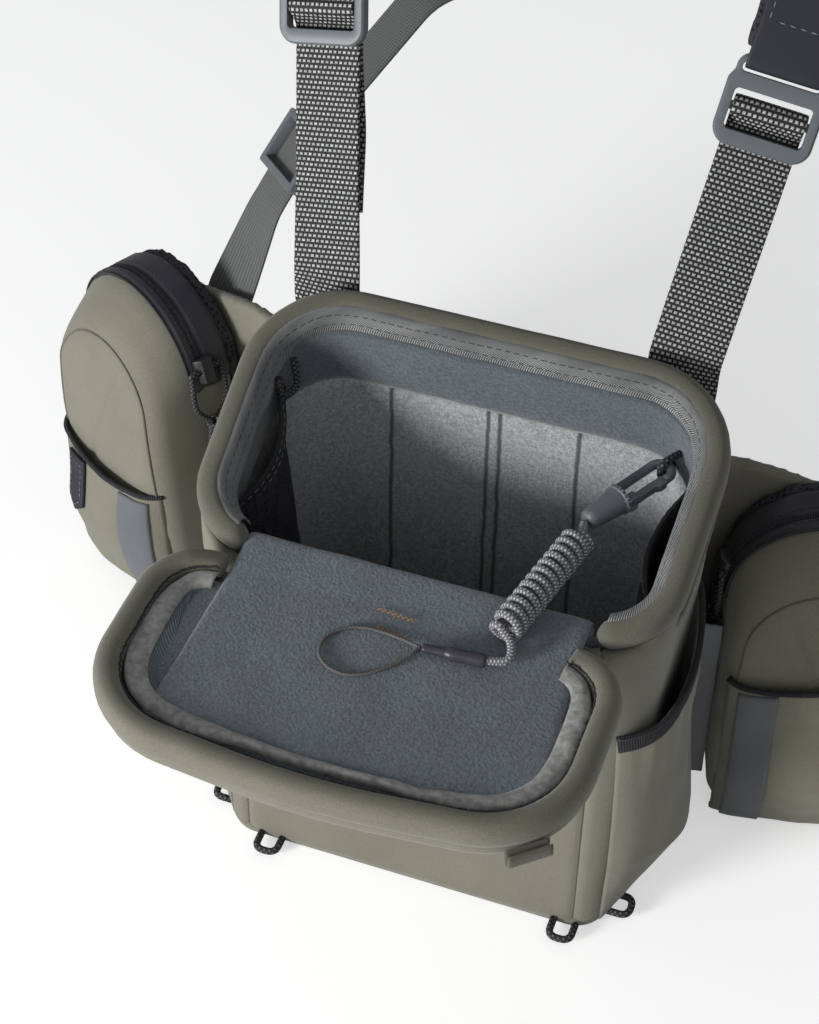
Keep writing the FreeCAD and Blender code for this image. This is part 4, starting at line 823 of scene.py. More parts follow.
class Wall:
    """The tapering wall of the main pouch; t counts round it from the middle of the front."""

    def __init__(self, inset):
        self.low = outline(pouch_corners(0.0, inset))
        self.high = outline(pouch_corners(TAPER_HEIGHT, inset))
        self.count = len(self.low)

    def plan(self, z):
        return self.low + (self.high - self.low) * z / TAPER_HEIGHT

    def at(self, t, z):
        """Points at places t (an array) and heights z (an array)."""
        t = np.asarray(t, float) % self.count
        i = np.floor(t).astype(int) % self.count
        k = (i + 1) % self.count
        part = (t - np.floor(t))[:, None]
        low = self.low[i] * (1 - part) + self.low[k] * part
        high = self.high[i] * (1 - part) + self.high[k] * part
        plan = low + (high - low) * (np.asarray(z) / TAPER_HEIGHT)[:, None]
        return np.column_stack([plan, np.asarray(z)])

    def out(self, t, z):
        """Outward directions in plan."""
        step = self.at(np.asarray(t) + 0.5, z) - self.at(np.asarray(t) - 0.5, z)
        return unit_rows(np.column_stack([step[:, 1], -step[:, 0], np.zeros(len(step))]))

    def beside(self, y, z):
        """The place t, on the right half, where the wall's side crosses y."""
        half = self.count // 2
        steps = np.arange(half + 1)
        return float(np.interp(y, self.plan(z)[:half + 1, 1] + steps * 1e-6, steps))

    def find(self, x, z, back):
        """The place t, on the right half, where the wall crosses x at its front or back."""
        plan = self.plan(z)
        half = self.count // 2
        widest = int(np.argmax(plan[:half, 0]))
        if back:
            run = plan[widest:half + 1]
            return widest + float(np.interp(-x, -run[:, 0], np.arange(len(run))))
        return float(np.interp(x, plan[:widest, 0], np.arange(widest)))


def rim_height(y, drop):
    """Height of the plane that lies drop below the rim, above a place y."""
    slope = math.radians(RIM_SLOPE)
    return HINGE_Z + (y - HINGE_Y) * math.tan(slope) - drop / math.cos(slope)


def up_to_plane(wall, ends, drop, share):
    """Places and heights where the columns of a panel meet the plane that lies drop below the rim."""
    top = np.full(len(share), 150.0)
    for _ in range(4):
        places = np.array([slanted(*ends(z), s) for z, s in zip(top, share)])
        top = rim_height(wall.at(places, top)[:, 1], drop)
    return places, top


def wall_panel(name, wall, ends, low, drop, finish_name, shape, columns=80, inner=False):
    """A panel of the wall between two places, from low up to a plane below the rim.
    ends(z) gives its two places; shape(points, along, below, reach) how far each point stands out."""
    share = np.linspace(0, 1, columns)
    _, top = up_to_plane(wall, ends, drop, share)
    points = []
    coords = []
    for v in np.linspace(0, 1, 60):
        z = low + (top - low) * v
        places = np.array([slanted(*ends(h), s) for h, s in zip(z, share)])
        row = wall.at(places, z)
        run = distances(row)
        points.append(row + wall.out(places, z) * shape(row, run, top - z, run[-1])[:, None])
        coords.append(np.column_stack([run, z]) * MM)
    return grid(name, points, finish_name, coords, flip=inner)


def ripple(points, size, amount):
    return np.array([noise.noise(Vector(p) / size) * amount for p in points])


def rim_corners(inset):
    rise = math.tan(math.radians(RIM_SLOPE))
    back_z = HINGE_Z + (RIM_BACK_Y - HINGE_Y) * rise
    run = 1.0 / math.cos(math.radians(RIM_SLOPE))
    front = (taper(BASE_FRONT_Y, RIM_FRONT_Y, HINGE_Z) - HINGE_Y) * run - ROLL_PROUD + inset
    back = (RIM_BACK_Y - HINGE_Y) * run + ROLL_PROUD - inset
    wide_front = taper(BASE_HALF_WIDTH, RIM_HALF_WIDTH, HINGE_Z) + ROLL_PROUD - inset
    wide_back = taper(BASE_HALF_WIDTH, RIM_HALF_WIDTH, back_z) + ROLL_PROUD - inset
    return [(wide_front, front, RIM_FRONT_RADIUS - inset), (wide_back, back, RIM_BACK_RADIUS - inset),
            (-wide_back, back, RIM_BACK_RADIUS - inset), (-wide_front, front, RIM_FRONT_RADIUS - inset)]


def rim_place(points):
    """From the rim's slanted plane (x, up the slope, out of the plane) to the pack's own axes."""
    a = math.radians(RIM_SLOPE)
    x, y, z = points[:, 0], points[:, 1], points[:, 2]
    return np.column_stack([x, HINGE_Y + y * math.cos(a) - z * math.sin(a),
                            HINGE_Z + y * math.sin(a) + z * math.cos(a)])


def open_run(plan, limit, count):
    """An outline without its front stretch between -limit and limit, from right to left."""
    half = len(plan) // 2
    right = int(np.argmax(plan[:half, 0]))
    start = float(np.interp(limit, plan[:right, 0], np.arange(right)))
    places = np.linspace(start, len(plan) - start, 400)
    wrapped = np.vstack([plan, plan[:1]])
    spots = np.arange(len(wrapped))
    path = np.stack([np.interp(places, spots, wrapped[:, i]) for i in range(2)], axis=1)
    return even(path, count)


def plan_inward(path):
    """Directions to the inside of a counterclockwise plan path."""
    along = unit_rows(np.gradient(path, axis=0))
    return np.column_stack([-along[:, 1], along[:, 0]])


def rim_run(inset, lift, count=260, limit=HINGE_HALF):
    """A path round the rim: places, directions inwards and directions out of its plane."""
    plan = open_run(outline(rim_corners(inset)), limit, count)
    inward = plan_inward(plan)
    path = rim_place(np.column_stack([plan, np.full(count, lift)]))
    base = rim_place(np.zeros((1, 3)))
    across = rim_place(np.column_stack([inward, np.zeros(count)])) - base
    up = rim_place(np.array([[0.0, 0.0, 1.0]])) - base
    return path, across, np.repeat(up, count, axis=0)


def lid_corners(inset):
    back = -LID_BACK_GAP - inset
    half = LID_HALF_WIDTH - inset
    side = -LID_SIDE_LENGTH + inset
    front = -LID_LENGTH + inset
    right, left = LID_SHIFT + half, LID_SHIFT - half
    # Counterclockwise, with the hinge side last.
    return [(left, back, LID_HINGE_RADIUS - inset), (left, side, LID_FRONT_RADIUS - inset),
            (LID_SHIFT, front, 260.0), (right, side, LID_FRONT_RADIUS - inset),
            (right, back, LID_HINGE_RADIUS - inset)]


def lid_loop(inset, height):
    plan = outline(lid_corners(inset), 12, 20)
    return np.column_stack([plan[:, 0], plan[:, 1] + HINGE_Y, np.full(len(plan), HINGE_Z + height)])


def lid_run(inset, height, count=260, limit=HINGE_HALF):
    """A path round the lid from the hinge's left end to its right end."""
    plan = outline(lid_corners(inset), 12, 20)
    back = plan[:, 1] > -LID_BACK_GAP - inset - 0.01
    keep = ~(back & (np.abs(plan[:, 0]) < limit))
    places = np.nonzero(keep)[0]
    path = even(plan[places], count)
    inward = plan_inward(path)
    flat = np.column_stack([path[:, 0], path[:, 1] + HINGE_Y, np.full(count, HINGE_Z + height)])
    return flat, np.column_stack([inward, np.zeros(count)]), np.tile([0.0, 0.0, 1.0], (count, 1))


# ---------------------------------------------------------------- camera and stage
CAMERA_AT = Vector((170.3, -526.9, 701.9))
CAMERA_TARGET = Vector((-17.76, 0.0, 143.23))
CAMERA_ROLL = 0.26          # degrees
CAMERA_LENS, CAMERA_SENSOR = 79.3, 36.0
CLIP_START, CLIP_END = 0.02, 20.0
# Places and widths of the lamps, in metres, and the spot that both look at.
KEY_LAMP, KEY_LAMP_WIDTH = (-0.78, -1.0, 0.36), 0.4
FILL_LAMP, FILL_LAMP_WIDTH = (0.5, -1.4, 1.1), 1.3
LAMP_TARGET = (0, 0, 0.1)
FLOOR_HALF = 3000           # millimetres
WHITE, SKY_WHITE, BLACK = (1, 1, 1), (0.96, 0.98, 1), (0, 0, 0)


def make_camera():
    data = bpy.data.cameras.new("camera")
    data.lens = CAMERA_LENS
    data.sensor_width = CAMERA_SENSOR
    data.clip_start = CLIP_START
    data.clip_end = CLIP_END
    camera = linked("camera", data)
    look = (CAMERA_TARGET - CAMERA_AT).to_track_quat("-Z", "Y").to_matrix().to_4x4()
    camera.matrix_world = (Matrix.Translation(CAMERA_AT * MM) @ look
                           @ Matrix.Rotation(math.radians(CAMERA_ROLL), 4, "Z"))
    bpy.context.scene.camera = camera


def make_lamp(name, place, width, power):
    data = bpy.data.lights.new(name, "AREA")
    data.shape = "DISK"
    data.size = width
    data.energy = power
    lamp = linked(name, data)
    lamp.location = place
    lamp.rotation_euler = (Vector(LAMP_TARGET) - Vector(place)).to_track_quat("-Z", "Y").to_euler()
    return lamp


def floor_finish(name, tone, glow):
    """Pale paint that the camera sees a little paler than it is lit."""
    paint = Finish(name, 0.9)
    paint.colour(paint.blend(paint.grain(3.0), shade(WHITE, tone), shade(WHITE, tone + 0.01)))
    seen = paint.node("ShaderNodeLightPath")
    paint.feed(paint.shader.inputs["Emission Color"], paint.blend(seen, BLACK, shade(WHITE, glow)))
    paint.shader.inputs["Emission Strength"].default_value = 1.0
    return paint.material


def make_stage(sizes):
    """A pale floor, soft lamps and a white surround."""
    FINISHES["floor_paint"] = (floor_finish, sizes.floor_tone, sizes.floor_glow)
    corners = [(x * FLOOR_HALF, y * FLOOR_HALF, 0) for x, y in ((-1, -1), (1, -1), (1, 1), (-1, 1))]
    floor = new_piece("floor", corners, [(0, 1, 2, 3)], "floor_paint")
    make_lamp("key_lamp", KEY_LAMP, KEY_LAMP_WIDTH, sizes.key_power)
    make_lamp("fill_lamp", FILL_LAMP, FILL_LAMP_WIDTH, sizes.fill_power)
    world = bpy.data.worlds.new("surround")
    bpy.context.scene.world = world
    world.use_nodes = True
    tree = world.node_tree
    tree.nodes.clear()
    out, seen, light, ray, pick = (tree.nodes.new("ShaderNode" + kind) for kind in (
        "OutputWorld", "Background", "Background", "LightPath", "MixShader"))
    seen.inputs["Color"].default_value = (*WHITE, 1)
    light.inputs["Color"].default_value = (*SKY_WHITE, 1)
    light.inputs["Strength"].default_value = sizes.sky_strength
    for source, socket in ((ray.outputs["Is Camera Ray"], pick.inputs[0]), (light.outputs[0], pick.inputs[1]),
                           (seen.outputs[0], pick.inputs[2]), (pick.outputs[0], out.inputs[0])):
        tree.links.new(source, socket)
    bpy.context.scene.view_settings.view_transform = "Standard"


# ---------------------------------------------------------------- shared small forms
def filleted(points, reach=3.0, steps=6):
    """A path with each corner rounded, and for each of its points a place along the corners' count."""
    points = np.asarray(points, float)
    path = [points[0]]
    spots = [0.0]
    for i in range(1, len(points) - 1):
        here = points[i]
        back, ahead = points[i - 1] - here, points[i + 1] - here
        before, after = np.linalg.norm(back), np.linalg.norm(ahead)
        cut_back, cut_ahead = min(reach, 0.45 * before), min(reach, 0.45 * after)
        a = here + back / before * cut_back
        b = here + ahead / after * cut_ahead
        for t in np.linspace(0, 1, steps):
            path.append(a * (1 - t) ** 2 + here * 2 * t * (1 - t) + b * t * t)
            spots.append(i - (1 - t) * cut_back / before + t * cut_ahead / after)
    path.append(points[-1])
    spots.append(len(points) - 1.0)
    return np.array(path), np.array(spots)


def denser(path, spots, step):
    """Points added wherever two neighbours lie further apart than step."""
    out, places = [path[0]], [spots[0]]
    for i in range(1, len(path)):
        parts = max(1, int(math.ceil(np.linalg.norm(path[i] - path[i - 1]) / step)))
        for k in range(1, parts + 1):
            out.append(path[i - 1] + (path[i] - path[i - 1]) * k / parts)
            places.append(spots[i - 1] + (spots[i] - spots[i - 1]) * k / parts)
    return np.array(out), np.array(places)


def strap(name, points, turns, width, thick, finish_name, reach):
    """A flat strap through points; turns gives its width direction at each of them."""
    path, spots = filleted(points, reach)
    path, spots = denser(path, spots, 3.0)
    turns = np.asarray(turns, float)
    wide = np.stack([np.interp(spots, np.arange(len(turns)), turns[:, i]) for i in range(3)], axis=1)
    along = unit_rows(np.gradient(path, axis=0))
    outward_ways = unit_rows(np.cross(wide, along))
    across = np.cross(along, outward_ways)
    return sweep(name, path, across, outward_ways, oval(width, thick, 7.0, 28), finish_name)


def bartack(name, centre, along, out, length, width, turns, thread):
    """A zigzag of orange thread."""
    along = np.array(along, float) / np.linalg.norm(along)
    out = np.array(out, float) / np.linalg.norm(out)
    beside = np.cross(out, along)
    path = [np.array(centre) + along * length * (i / (2 * turns) - 0.5)
            + beside * width * (0.5 if i % 2 else -0.5) + out * 0.15 for i in range(2 * turns + 1)]
    return tube(name, path, thread, "orange_thread", 6)


def cushion(name, loop, top, finish_name, edge, inner=14, waver=0.0):
    """A padded form over an outline: a loop of points at its edge, nested rings inward, and a flat underside.
    edge gives (share outward, rise) steps below; top(share) gives the rise at a share of the way in."""
    loop = np.asarray(loop, float)
    out = np.array([0.0, 0.0, 1.0])
    centre = loop.mean(0)
    loops = [centre + (loop - centre) * (1 - shrink) + out * rise for shrink, rise in edge]
    for share in np.linspace(0, 1, inner + 1)[:-1]:
        ring = centre + (loop - centre) * (1 - share) + out * top(share)
        if waver:
            ring = ring + out * ripple(ring, 20.0, waver)[:, None] * min(1.0, share * 5 + 0.2)
        loops.append(ring)
    coords = [[(p[0] * MM, p[1] * MM) for p in ring] for ring in loops]
    return rings(name, loops, finish_name, coords)


def level(stations, z):
    """A value read from (place, value) stations."""
    return np.interp(z, [s[0] for s in stations], [s[1] for s in stations])


# ---------------------------------------------------------------- main pouch
def seam(wall, x, back):
    """Where a seam that is sewn at x lies on the wall's right half, for any height."""
    heights = np.linspace(0, TAPER_HEIGHT, 21)
    places = [wall.find(x, z, back) for z in heights]
    return lambda z: float(np.interp(z, heights, places))


def make_shell():
    wall = Wall(0.0)
    count = wall.count
    front_place, rear_place = seam(wall, FRONT_SEAM_X, False), seam(wall, BACK_SEAM_X, True)

    def puffed(amount):
        def shape(points, run, below, reach):
            sewn = -np.exp(-(np.minimum(run, reach - run) / 1.7) ** 2)
            lift = amount * np.sin(np.clip(run / reach, 0, 1) * math.pi) ** 0.7
            under = -0.9 * np.exp(-(below / 3.0) ** 2)
            return sewn + lift + under + ripple(points, 42.0, 0.9) + ripple(points, 15.0, 0.25)
        return shape

    panels = [("front_cloth", "front_panel", 0.6, lambda z: (-front_place(z), front_place(z))),
              ("side_cloth_right", "side_panel_right", 0.4, lambda z: (front_place(z), rear_place(z))),
              ("back_cloth", "back_panel", 0.4, lambda z: (rear_place(z), count - rear_place(z))),
              ("side_cloth_left", "side_panel_left", 0.4,
               lambda z: (count - rear_place(z), count - front_place(z)))]
    for name, node, puff, ends in panels:
        piece = wall_panel(name, wall, ends, 2.4, ROLL_HEIGHT - 5.0, "olive_cloth", puffed(puff))
        attach(thicken(piece, SHELL), "pack", "olive_cloth", node)

    loop = np.column_stack([wall.plan(0.0), np.zeros(count)])
    base = cushion("base_cloth", loop, lambda share: 4.0, "olive_cloth",
                   ((0.05, 0.0), (0.02, 0.1), (0.006, 0.8), (0.0, 2.0), (0.0, 3.2)))
    attach(base, "pack", "olive_cloth", "base_panel")


def make_lining():
    wall = Wall(SHELL + LINER)
    heights = np.linspace(0, TAPER_HEIGHT, 21)
    turns = [wall.beside(RIM_BACK_Y - RIM_BACK_RADIUS, z) for z in heights]

    def turn_place(z):
        return float(np.interp(z, heights, turns))

    def soft(points, run, below, reach):
        return -0.5 * ripple(points, 26.0, 1.0) + 0.6 * np.exp(-(below / 2.5) ** 2)

    # The wall lining takes a darker copy of the fleece, painted shade inside the pouch; the back lining keeps
    # its own pale colour.
    for name, look, slot, node, columns, ends in (
            ("back_lining", "pale_fleece", "pale_fleece", "back_liner", 120,
             lambda z: (turn_place(z), wall.count - turn_place(z))),
            ("wall_lining", "fleece_dark", "fleece", "wall_liner", 160,
             lambda z: (-turn_place(z), turn_place(z)))):
        panel = wall_panel(name, wall, ends, BASE_LINER_TOP, FLEECE_BAND_DROP, look, soft, columns, True)
        attach(thicken(panel, LINER - 0.4), "pack", slot, node)

    # The band's lower edge follows the rim, so it is drawn row by row below it.
    front_place = seam(wall, HINGE_HALF - 6.0, False)
    share = np.linspace(0, 1, 200)
    foot = FLEECE_BAND_DROP + 0.6
    points = []
    coords = []
    for drop in np.linspace(foot, ROLL_HEIGHT - 3.0, 14):
        places, z = up_to_plane(wall, lambda h: (front_place(h), wall.count - front_place(h)), drop, share)
        row = wall.at(places, z)
        stand = -1.1 + 1.2 * math.exp(-((foot - drop) / 1.4) ** 2) + ripple(row, 16.0, 0.5)
        points.append(row + wall.out(places, z) * stand[:, None])
        coords.append(np.column_stack([distances(row), z]) * MM)
    # The band takes the darker fleece copy: painted shade inside the pouch.
    band = grid("fleece_facing", points, "fleece_dark", coords, flip=True)
    attach(thicken(band, 2.4), "pack", "fleece", "fleece_band")

    # The floor lining takes the darker fleece copy: painted shade at the pouch's bottom.
    loop = np.column_stack([wall.plan(6.0), np.full(wall.count, 6.5)])
    floor = cushion("floor_lining", loop, lambda way: 1.8 + 1.4 * math.sin(min(1.0, way * 1.6) * math.pi / 2),
                    "fleece_dark", ((0.05, -2.0), (0.0, -1.6), (0.0, 0.0)), waver=0.5)
    attach(floor, "pack", "fleece", "base_liner")


# The tape inside the roll, as (inset, height) from its upper edge to its lower one.
TAPE_PROFILE = ((7.2, -0.9), (8.6, -1.2), (10.0, -2.4), (11.3, -4.6), (12.0, -7.4), (12.3, -10.5),
                (12.4, -13.0))


def make_rim():
    path, across, up = rim_run(ROLL_INSET, -ROLL_HEIGHT / 2, 320, HINGE_HALF - 1.0)
    run = distances(path)
    from_end = np.minimum(run, run[-1] - run)
    flat = np.clip(from_end / 16.0, 0, 1) ** 0.7
    tip = np.sqrt(np.clip(1 - (1 - np.clip(from_end / 5.0, 0, 1)) ** 2, 0.03, 1))
    scale = [((0.98 - 0.1 * (1 - f)) * t, (0.8 + 0.18 * f) * t) for f, t in zip(flat, tip)]
    section = oval(ROLL_SEEN, ROLL_HEIGHT, 2.5, 28)
    # The roll takes the much darker olive copy: painted shade.
    roll = sweep("rim_roll_cloth", path, across, up, section, "olive_rim", scale, 0.11, 13.0)
    attach(roll, "pack", "olive_cloth", "rim_roll")

    count = 340
    rows = []
    coords = []
    reach = 0.0
    for i, (inset, height) in enumerate(TAPE_PROFILE):
        edge_path, edge_across, edge_up = rim_run(inset, height, count, HINGE_HALF + 2.0)
        share = i / (len(TAPE_PROFILE) - 1)
        run = distances(edge_path)
        left_corner = np.exp(-((run / run[-1] - 0.84) / 0.07) ** 2)
        wave = share ** 2 * (0.5 * np.sin(run / 3.1) + 1.6 * np.sin(run / 8.0) * left_corner)
        waver = 0.3 * ripple(edge_path, 9.0, 1.0)
        rows.append(edge_path + edge_across * waver[:, None] + edge_up * wave[:, None])
        if i:
            reach = reach + math.dist(TAPE_PROFILE[i], TAPE_PROFILE[i - 1])
        coords.append(np.column_stack([run, np.full(count, reach)]) * MM)
    tape = grid("rim_tape", rows, "grosgrain", coords)
    attach(thicken(tape, GROSGRAIN * 0.6), "pack", "grosgrain", "rim_grosgrain")

    # A second fold of cloth under the roll, with the seam that holds it.
    fold_path, fold_across, fold_up = rim_run(0.9, -ROLL_HEIGHT - 1.1, 300, HINGE_HALF + 2.0)
    for side, keep in (("right", slice(0, 84)), ("left", slice(216, 300))):
        path, across, up = fold_path[keep], fold_across[keep], fold_up[keep]
        run = distances(path)
        share = run / run[-1] if side == "right" else 1 - run / run[-1]
        size = np.sqrt(np.clip(1 - share, 0.01, 1)) * np.clip(share * 12 + 0.2, 0, 1)
        # The fold takes the much darker olive copy: painted shade under the roll.
        fold = sweep("rim_fold_" + side, path, across, up, oval(3.0, 4.6, 2.3, 16), "olive_rim",
                     scale=[(f, f) for f in size], waver=0.12, waver_size=8.0)
        attach(fold, "pack", "olive_cloth")
    seam_path, _, _ = rim_run(0.2, -ROLL_HEIGHT - 4.2, 300, HINGE_HALF + 8.0)
    attach(stitches("rim_stitches", seam_path[4:64], "brown_thread", 2.6, 1.4, 0.22), "pack", "olive_cloth")


def pocket_sheet(wall, front, back, columns, bottom, heights, stand):
    """A pocket's cloth against the wall: its points, its coords, its mouth and the wall's directions there.
    front and back are the mouth's ends (y, z); stand(share, z, top, spots) how far the cloth stands out."""
    points = []
    coords = []
    outs = []
    for share in np.linspace(0, 1, columns):
        y, top = slanted(front[0], back[0], share), slanted(front[1], back[1], share)
        z = heights(top)
        place = np.interp(z, [bottom, top], [wall.beside(y, bottom), wall.beside(y, top)])
        spots, out = wall.at(place, z), wall.out(place, z)
        points.append(spots + out * stand(share, z, top, spots)[:, None])
        coords.append(np.column_stack([np.full(len(z), y), z]) * MM)
        outs.append(out[-1])
    points = np.array(points).swapaxes(0, 1)
    return points, np.array(coords).swapaxes(0, 1), points[-1], np.array(outs)


def make_stretch_pockets():
    def heights(top):
        return np.concatenate([np.linspace(2.0, 8.0, 8), np.linspace(8.0, top, 83)[1:]])

    def stand(share, z, top, spots):
        bow = 1 - (2 * share - 1) ** 2
        rise = np.clip((z - 2.0) / 6.0, 0, 1) ** 0.5
        depth = level(SIDE_POCKET_DEPTHS, z) * bow * rise
        under = (top - z) / 9.0
        folds = 0.95 * np.sin(share * 44.0 + 2.0 * np.sin(share * 9)) * under * np.exp(1 - under) * bow
        sag = -2.4 * np.exp(-((share - 0.62) / 0.1) ** 2) * np.exp(-((z - 62.0) / 26.0) ** 2)
        wrinkles = ripple(spots * np.array([1.0, 1.0, 0.45]), 9.0, 0.9) * bow * np.clip(under, 0.1, 1)
        return 0.5 + depth + folds + sag * bow + wrinkles

    points, coords, mouth, outs = pocket_sheet(Wall(0.0), *SIDE_POCKET_MOUTH, 70, 3.0, heights, stand)
    for side, sign in (("right", 1), ("left", -1)):
        mirror = np.array([sign, 1, 1])
        cloth = grid("stretch_cloth_" + side, points * mirror, "olive_cloth", coords, flip=sign < 0)
        attach(thicken(cloth, 1.4), "pack", "olive_cloth", "stretch_pocket_" + side)
        path, ways = mouth * mirror, outs * mirror
        along = unit_rows(np.gradient(path, axis=0))
        ups = unit_rows(np.cross(ways, along)) * sign
        path = path - ups * 2.2
        section = oval(2.1, BINDING_HEIGHT + 1.0, 4.0, 20)
        band = sweep("stretch_edge_" + side, path, ways, ups, section, "binding", waver=0.1, waver_size=7.0)
        attach(band, "pack", "binding")
        piping = path + ups * 3.6 + ways * 0.8
        attach(tube("stretch_piping_" + side, piping, 0.5, "dark_thread", 8), "pack", "binding")


def make_mesh_pockets():
    def heights(top):
        return np.linspace(BASE_LINER_TOP, top, 60)

    def stand(share, z, top, spots):
        bow = 1 - (2 * share - 1) ** 2
        return -(0.4 + level(MESH_DEPTHS, z) * bow + ripple(spots, 16.0, 0.9) * bow)

    wall = Wall(SHELL + LINER + 0.2)
    points, coords, mouth, outs = pocket_sheet(wall, *MESH_MOUTH, 50, BASE_LINER_TOP, heights, stand)
    for side, sign in (("right", 1), ("left", -1)):
        mirror = np.array([sign, 1, 1])
        cloth = thicken(grid("mesh_cloth_" + side, points * mirror, "mesh", coords, flip=sign > 0), 0.9)
        attach(cloth, "pack", "mesh")
        if side == "right":
            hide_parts("mesh_pockets")
        path, ways = mouth * mirror, -outs * mirror
        along = unit_rows(np.gradient(path, axis=0))
        ups = unit_rows(np.cross(ways, along))
        ups = ups * np.sign(ups[:, 2:3])
        edge = sweep("mesh_edge_" + side, path - ups * 2.4, ways, ups, oval(2.0, 7.4, 3.0, 20), "binding")
        attach(edge, "pack", "mesh")
        for at in (-4.6, -0.6):
            name = "mesh_stitch_%s_%d" % (side, at > -2)
            row = stitches(name, path + ups * at + ways * 1.0, "pale_thread", 2.2, 1.2, 0.18)
            attach(row, "pack", "mesh")


# ---------------------------------------------------------------- lid
LID_BAND_REACH = 18.0
# Shares of the way round the lid, and there the heather strip's shift inwards and its share of its width.
LID_WAY = (0.0, 0.17, 0.34, 0.42, 0.58, 0.66, 0.83, 1.0)
HEATHER_SHIFT = (0.0, 0.0, 1.6, 4.2, 4.2, 1.6, 0.0, 0.0)
HEATHER_SHARE = (0.8, 1.0, 0.75, 0.46, 0.42, 0.6, 0.95, 0.8)
# The strips' sections, as (inset, height).
HEATHER_PROFILE = ((8.4, -6.4), (9.0, -4.6), (10.0, -3.8), (12.0, -3.6), (14.0, -3.9), (15.8, -4.4),
                   (17.0, -5.0), (17.4, -6.2))
RIBBED_PROFILE = ((15.0, -6.2), (16.0, -5.6), (18.5, -5.6), (21.0, -6.2), (24.0, -7.2), (27.0, -8.0))
SMOOTH_PROFILE = ((14.0, -6.1), (15.0, -5.5), (18.0, -5.6), (21.0, -6.4), (24.0, -7.4))


def lid_band(name, profile, finish_name, waver=0.3, part=(0.0, 1.0), shift=0.0, share=1.0):
    """A strip that runs round the lid, or part of the way; shift and share move it inwards and narrow it."""
    count = 260
    keep = slice(int(part[0] * count), int(part[1] * count))
    edge, _, up = lid_run(0.0, 0.0, count)
    inner = lid_run(LID_BAND_REACH, 0.0, count)[0]
    rows = []
    coords = []
    reach = 0.0
    for i, (inset, height) in enumerate(profile):
        inset = np.full(count, profile[0][0] + shift) + (inset - profile[0][0]) * share
        path = edge + (inner - edge) * (inset / LID_BAND_REACH)[:, None] + up * height
        rows.append(path + up * ripple(path, 8.0, waver)[:, None])
        if i:
            reach = reach + math.dist(profile[i], profile[i - 1])
        coords.append(np.column_stack([distances(path), np.full(count, reach)]) * MM)
    return grid(name, np.array(rows)[:, keep], finish_name, np.array(coords)[:, keep])


def make_lid():
    middle = -0.5 - LID_ROLL_HEIGHT / 2
    path, inward, up = lid_run(LID_ROLL_SEEN / 2, middle, 320, HINGE_HALF)
    run = distances(path)
    from_end = np.minimum(run, run[-1] - run)
    flat = np.clip(from_end / 12.0, 0, 1) ** 0.7
    scale = [(1.0, 0.5 + 0.5 * f) for f in flat]
    section = oval(LID_ROLL_SEEN, LID_ROLL_HEIGHT, 2.5, 28)
    # The lid's roll takes a darker copy of the olive cloth: painted shade.
    roll = sweep("lid_roll_cloth", path, inward, up, section, "olive_rolled", scale, 0.1, 12.0)
    attach(roll, "lid", "olive_cloth", "lid_rim_roll")

    low = -0.5 - LID_ROLL_HEIGHT
    steps = ((6.0, low + 1.5), (2.6, low + 0.8), (2.2, low - 0.8), (2.2, -14.4), (2.9, -15.7), (4.4, -16.5),
             (7.0, -16.8))
    loops = [lid_loop(inset, height) for inset, height in steps]
    centre = loops[-1].mean(0)
    for share in (0.2, 0.45, 0.7, 0.9):
        loops.append(centre + (loops[-1 if share < 0.3 else 6] - centre) * (1 - share))
    coords = [[(p[0] * MM, p[1] * MM) for p in loop] for loop in loops]
    attach(rings("lid_cloth", loops, "olive_cloth", coords), "lid", "olive_cloth", "lid_shell")

    # The foam takes the darker fleece copy: painted shade under the lid's strips.
    loop = lid_loop(LID_ROLL_WIDTH + 1.4, -8.0)
    foam = cushion("lid_foam", loop, lambda share: 1.4 + 0.4 * min(1.0, share * 8.0), "fleece_dark",
                   ((0.02, -4.0), (0.0, -3.6), (0.0, 0.4)), inner=20)
    attach(foam, "lid", "fleece")

    way = np.linspace(0, 1, 260)
    shift, share = np.interp(way, LID_WAY, HEATHER_SHIFT), np.interp(way, LID_WAY, HEATHER_SHARE)
    heather = lid_band("lid_binding", HEATHER_PROFILE, "heather", 0.7, shift=shift, share=share)
    attach(thicken(heather, 0.8), "lid", "lining", "lid_lining_strip")
    ribbed = lid_band("lid_ribbed_strip", RIBBED_PROFILE, "ribbed_strip", part=(0.03, 0.38))
    attach(thicken(ribbed, 0.8), "lid", "fleece")
    smooth = lid_band("lid_smooth_strip", SMOOTH_PROFILE, "light_strip", part=(0.6, 0.92))
    attach(thicken(smooth, 0.6), "lid", "fleece")
    fray_path, _, _ = lid_run(LID_ROLL_SEEN - 0.3, -3.1, 500)
    fray = fray_path + np.random.default_rng(5).normal(0, 0.18, fray_path.shape)
    attach(tube("lid_frayed_edge", fray, 0.4, "dark_thread", 6), "lid", "lining")
    for i, (x, y) in enumerate(((-2.5, -55.6), (-0.8, -63.6))):
        name, spot = "lid_tack_%d" % (i + 1), (x, y, HINGE_Z - 4.3)
        attach(bartack(name, spot, (1, -0.1, 0), (0, 0, 1), 13.0, 1.3, 7, 0.22), "lid", "fleece")
    make_lid_tab()
    make_lid_fold()
    make_outer_fold()


PULL_TAB_WIDTH, PULL_TAB_TURN, PULL_TAB_LOW = 15.0, 41.0, -17.5


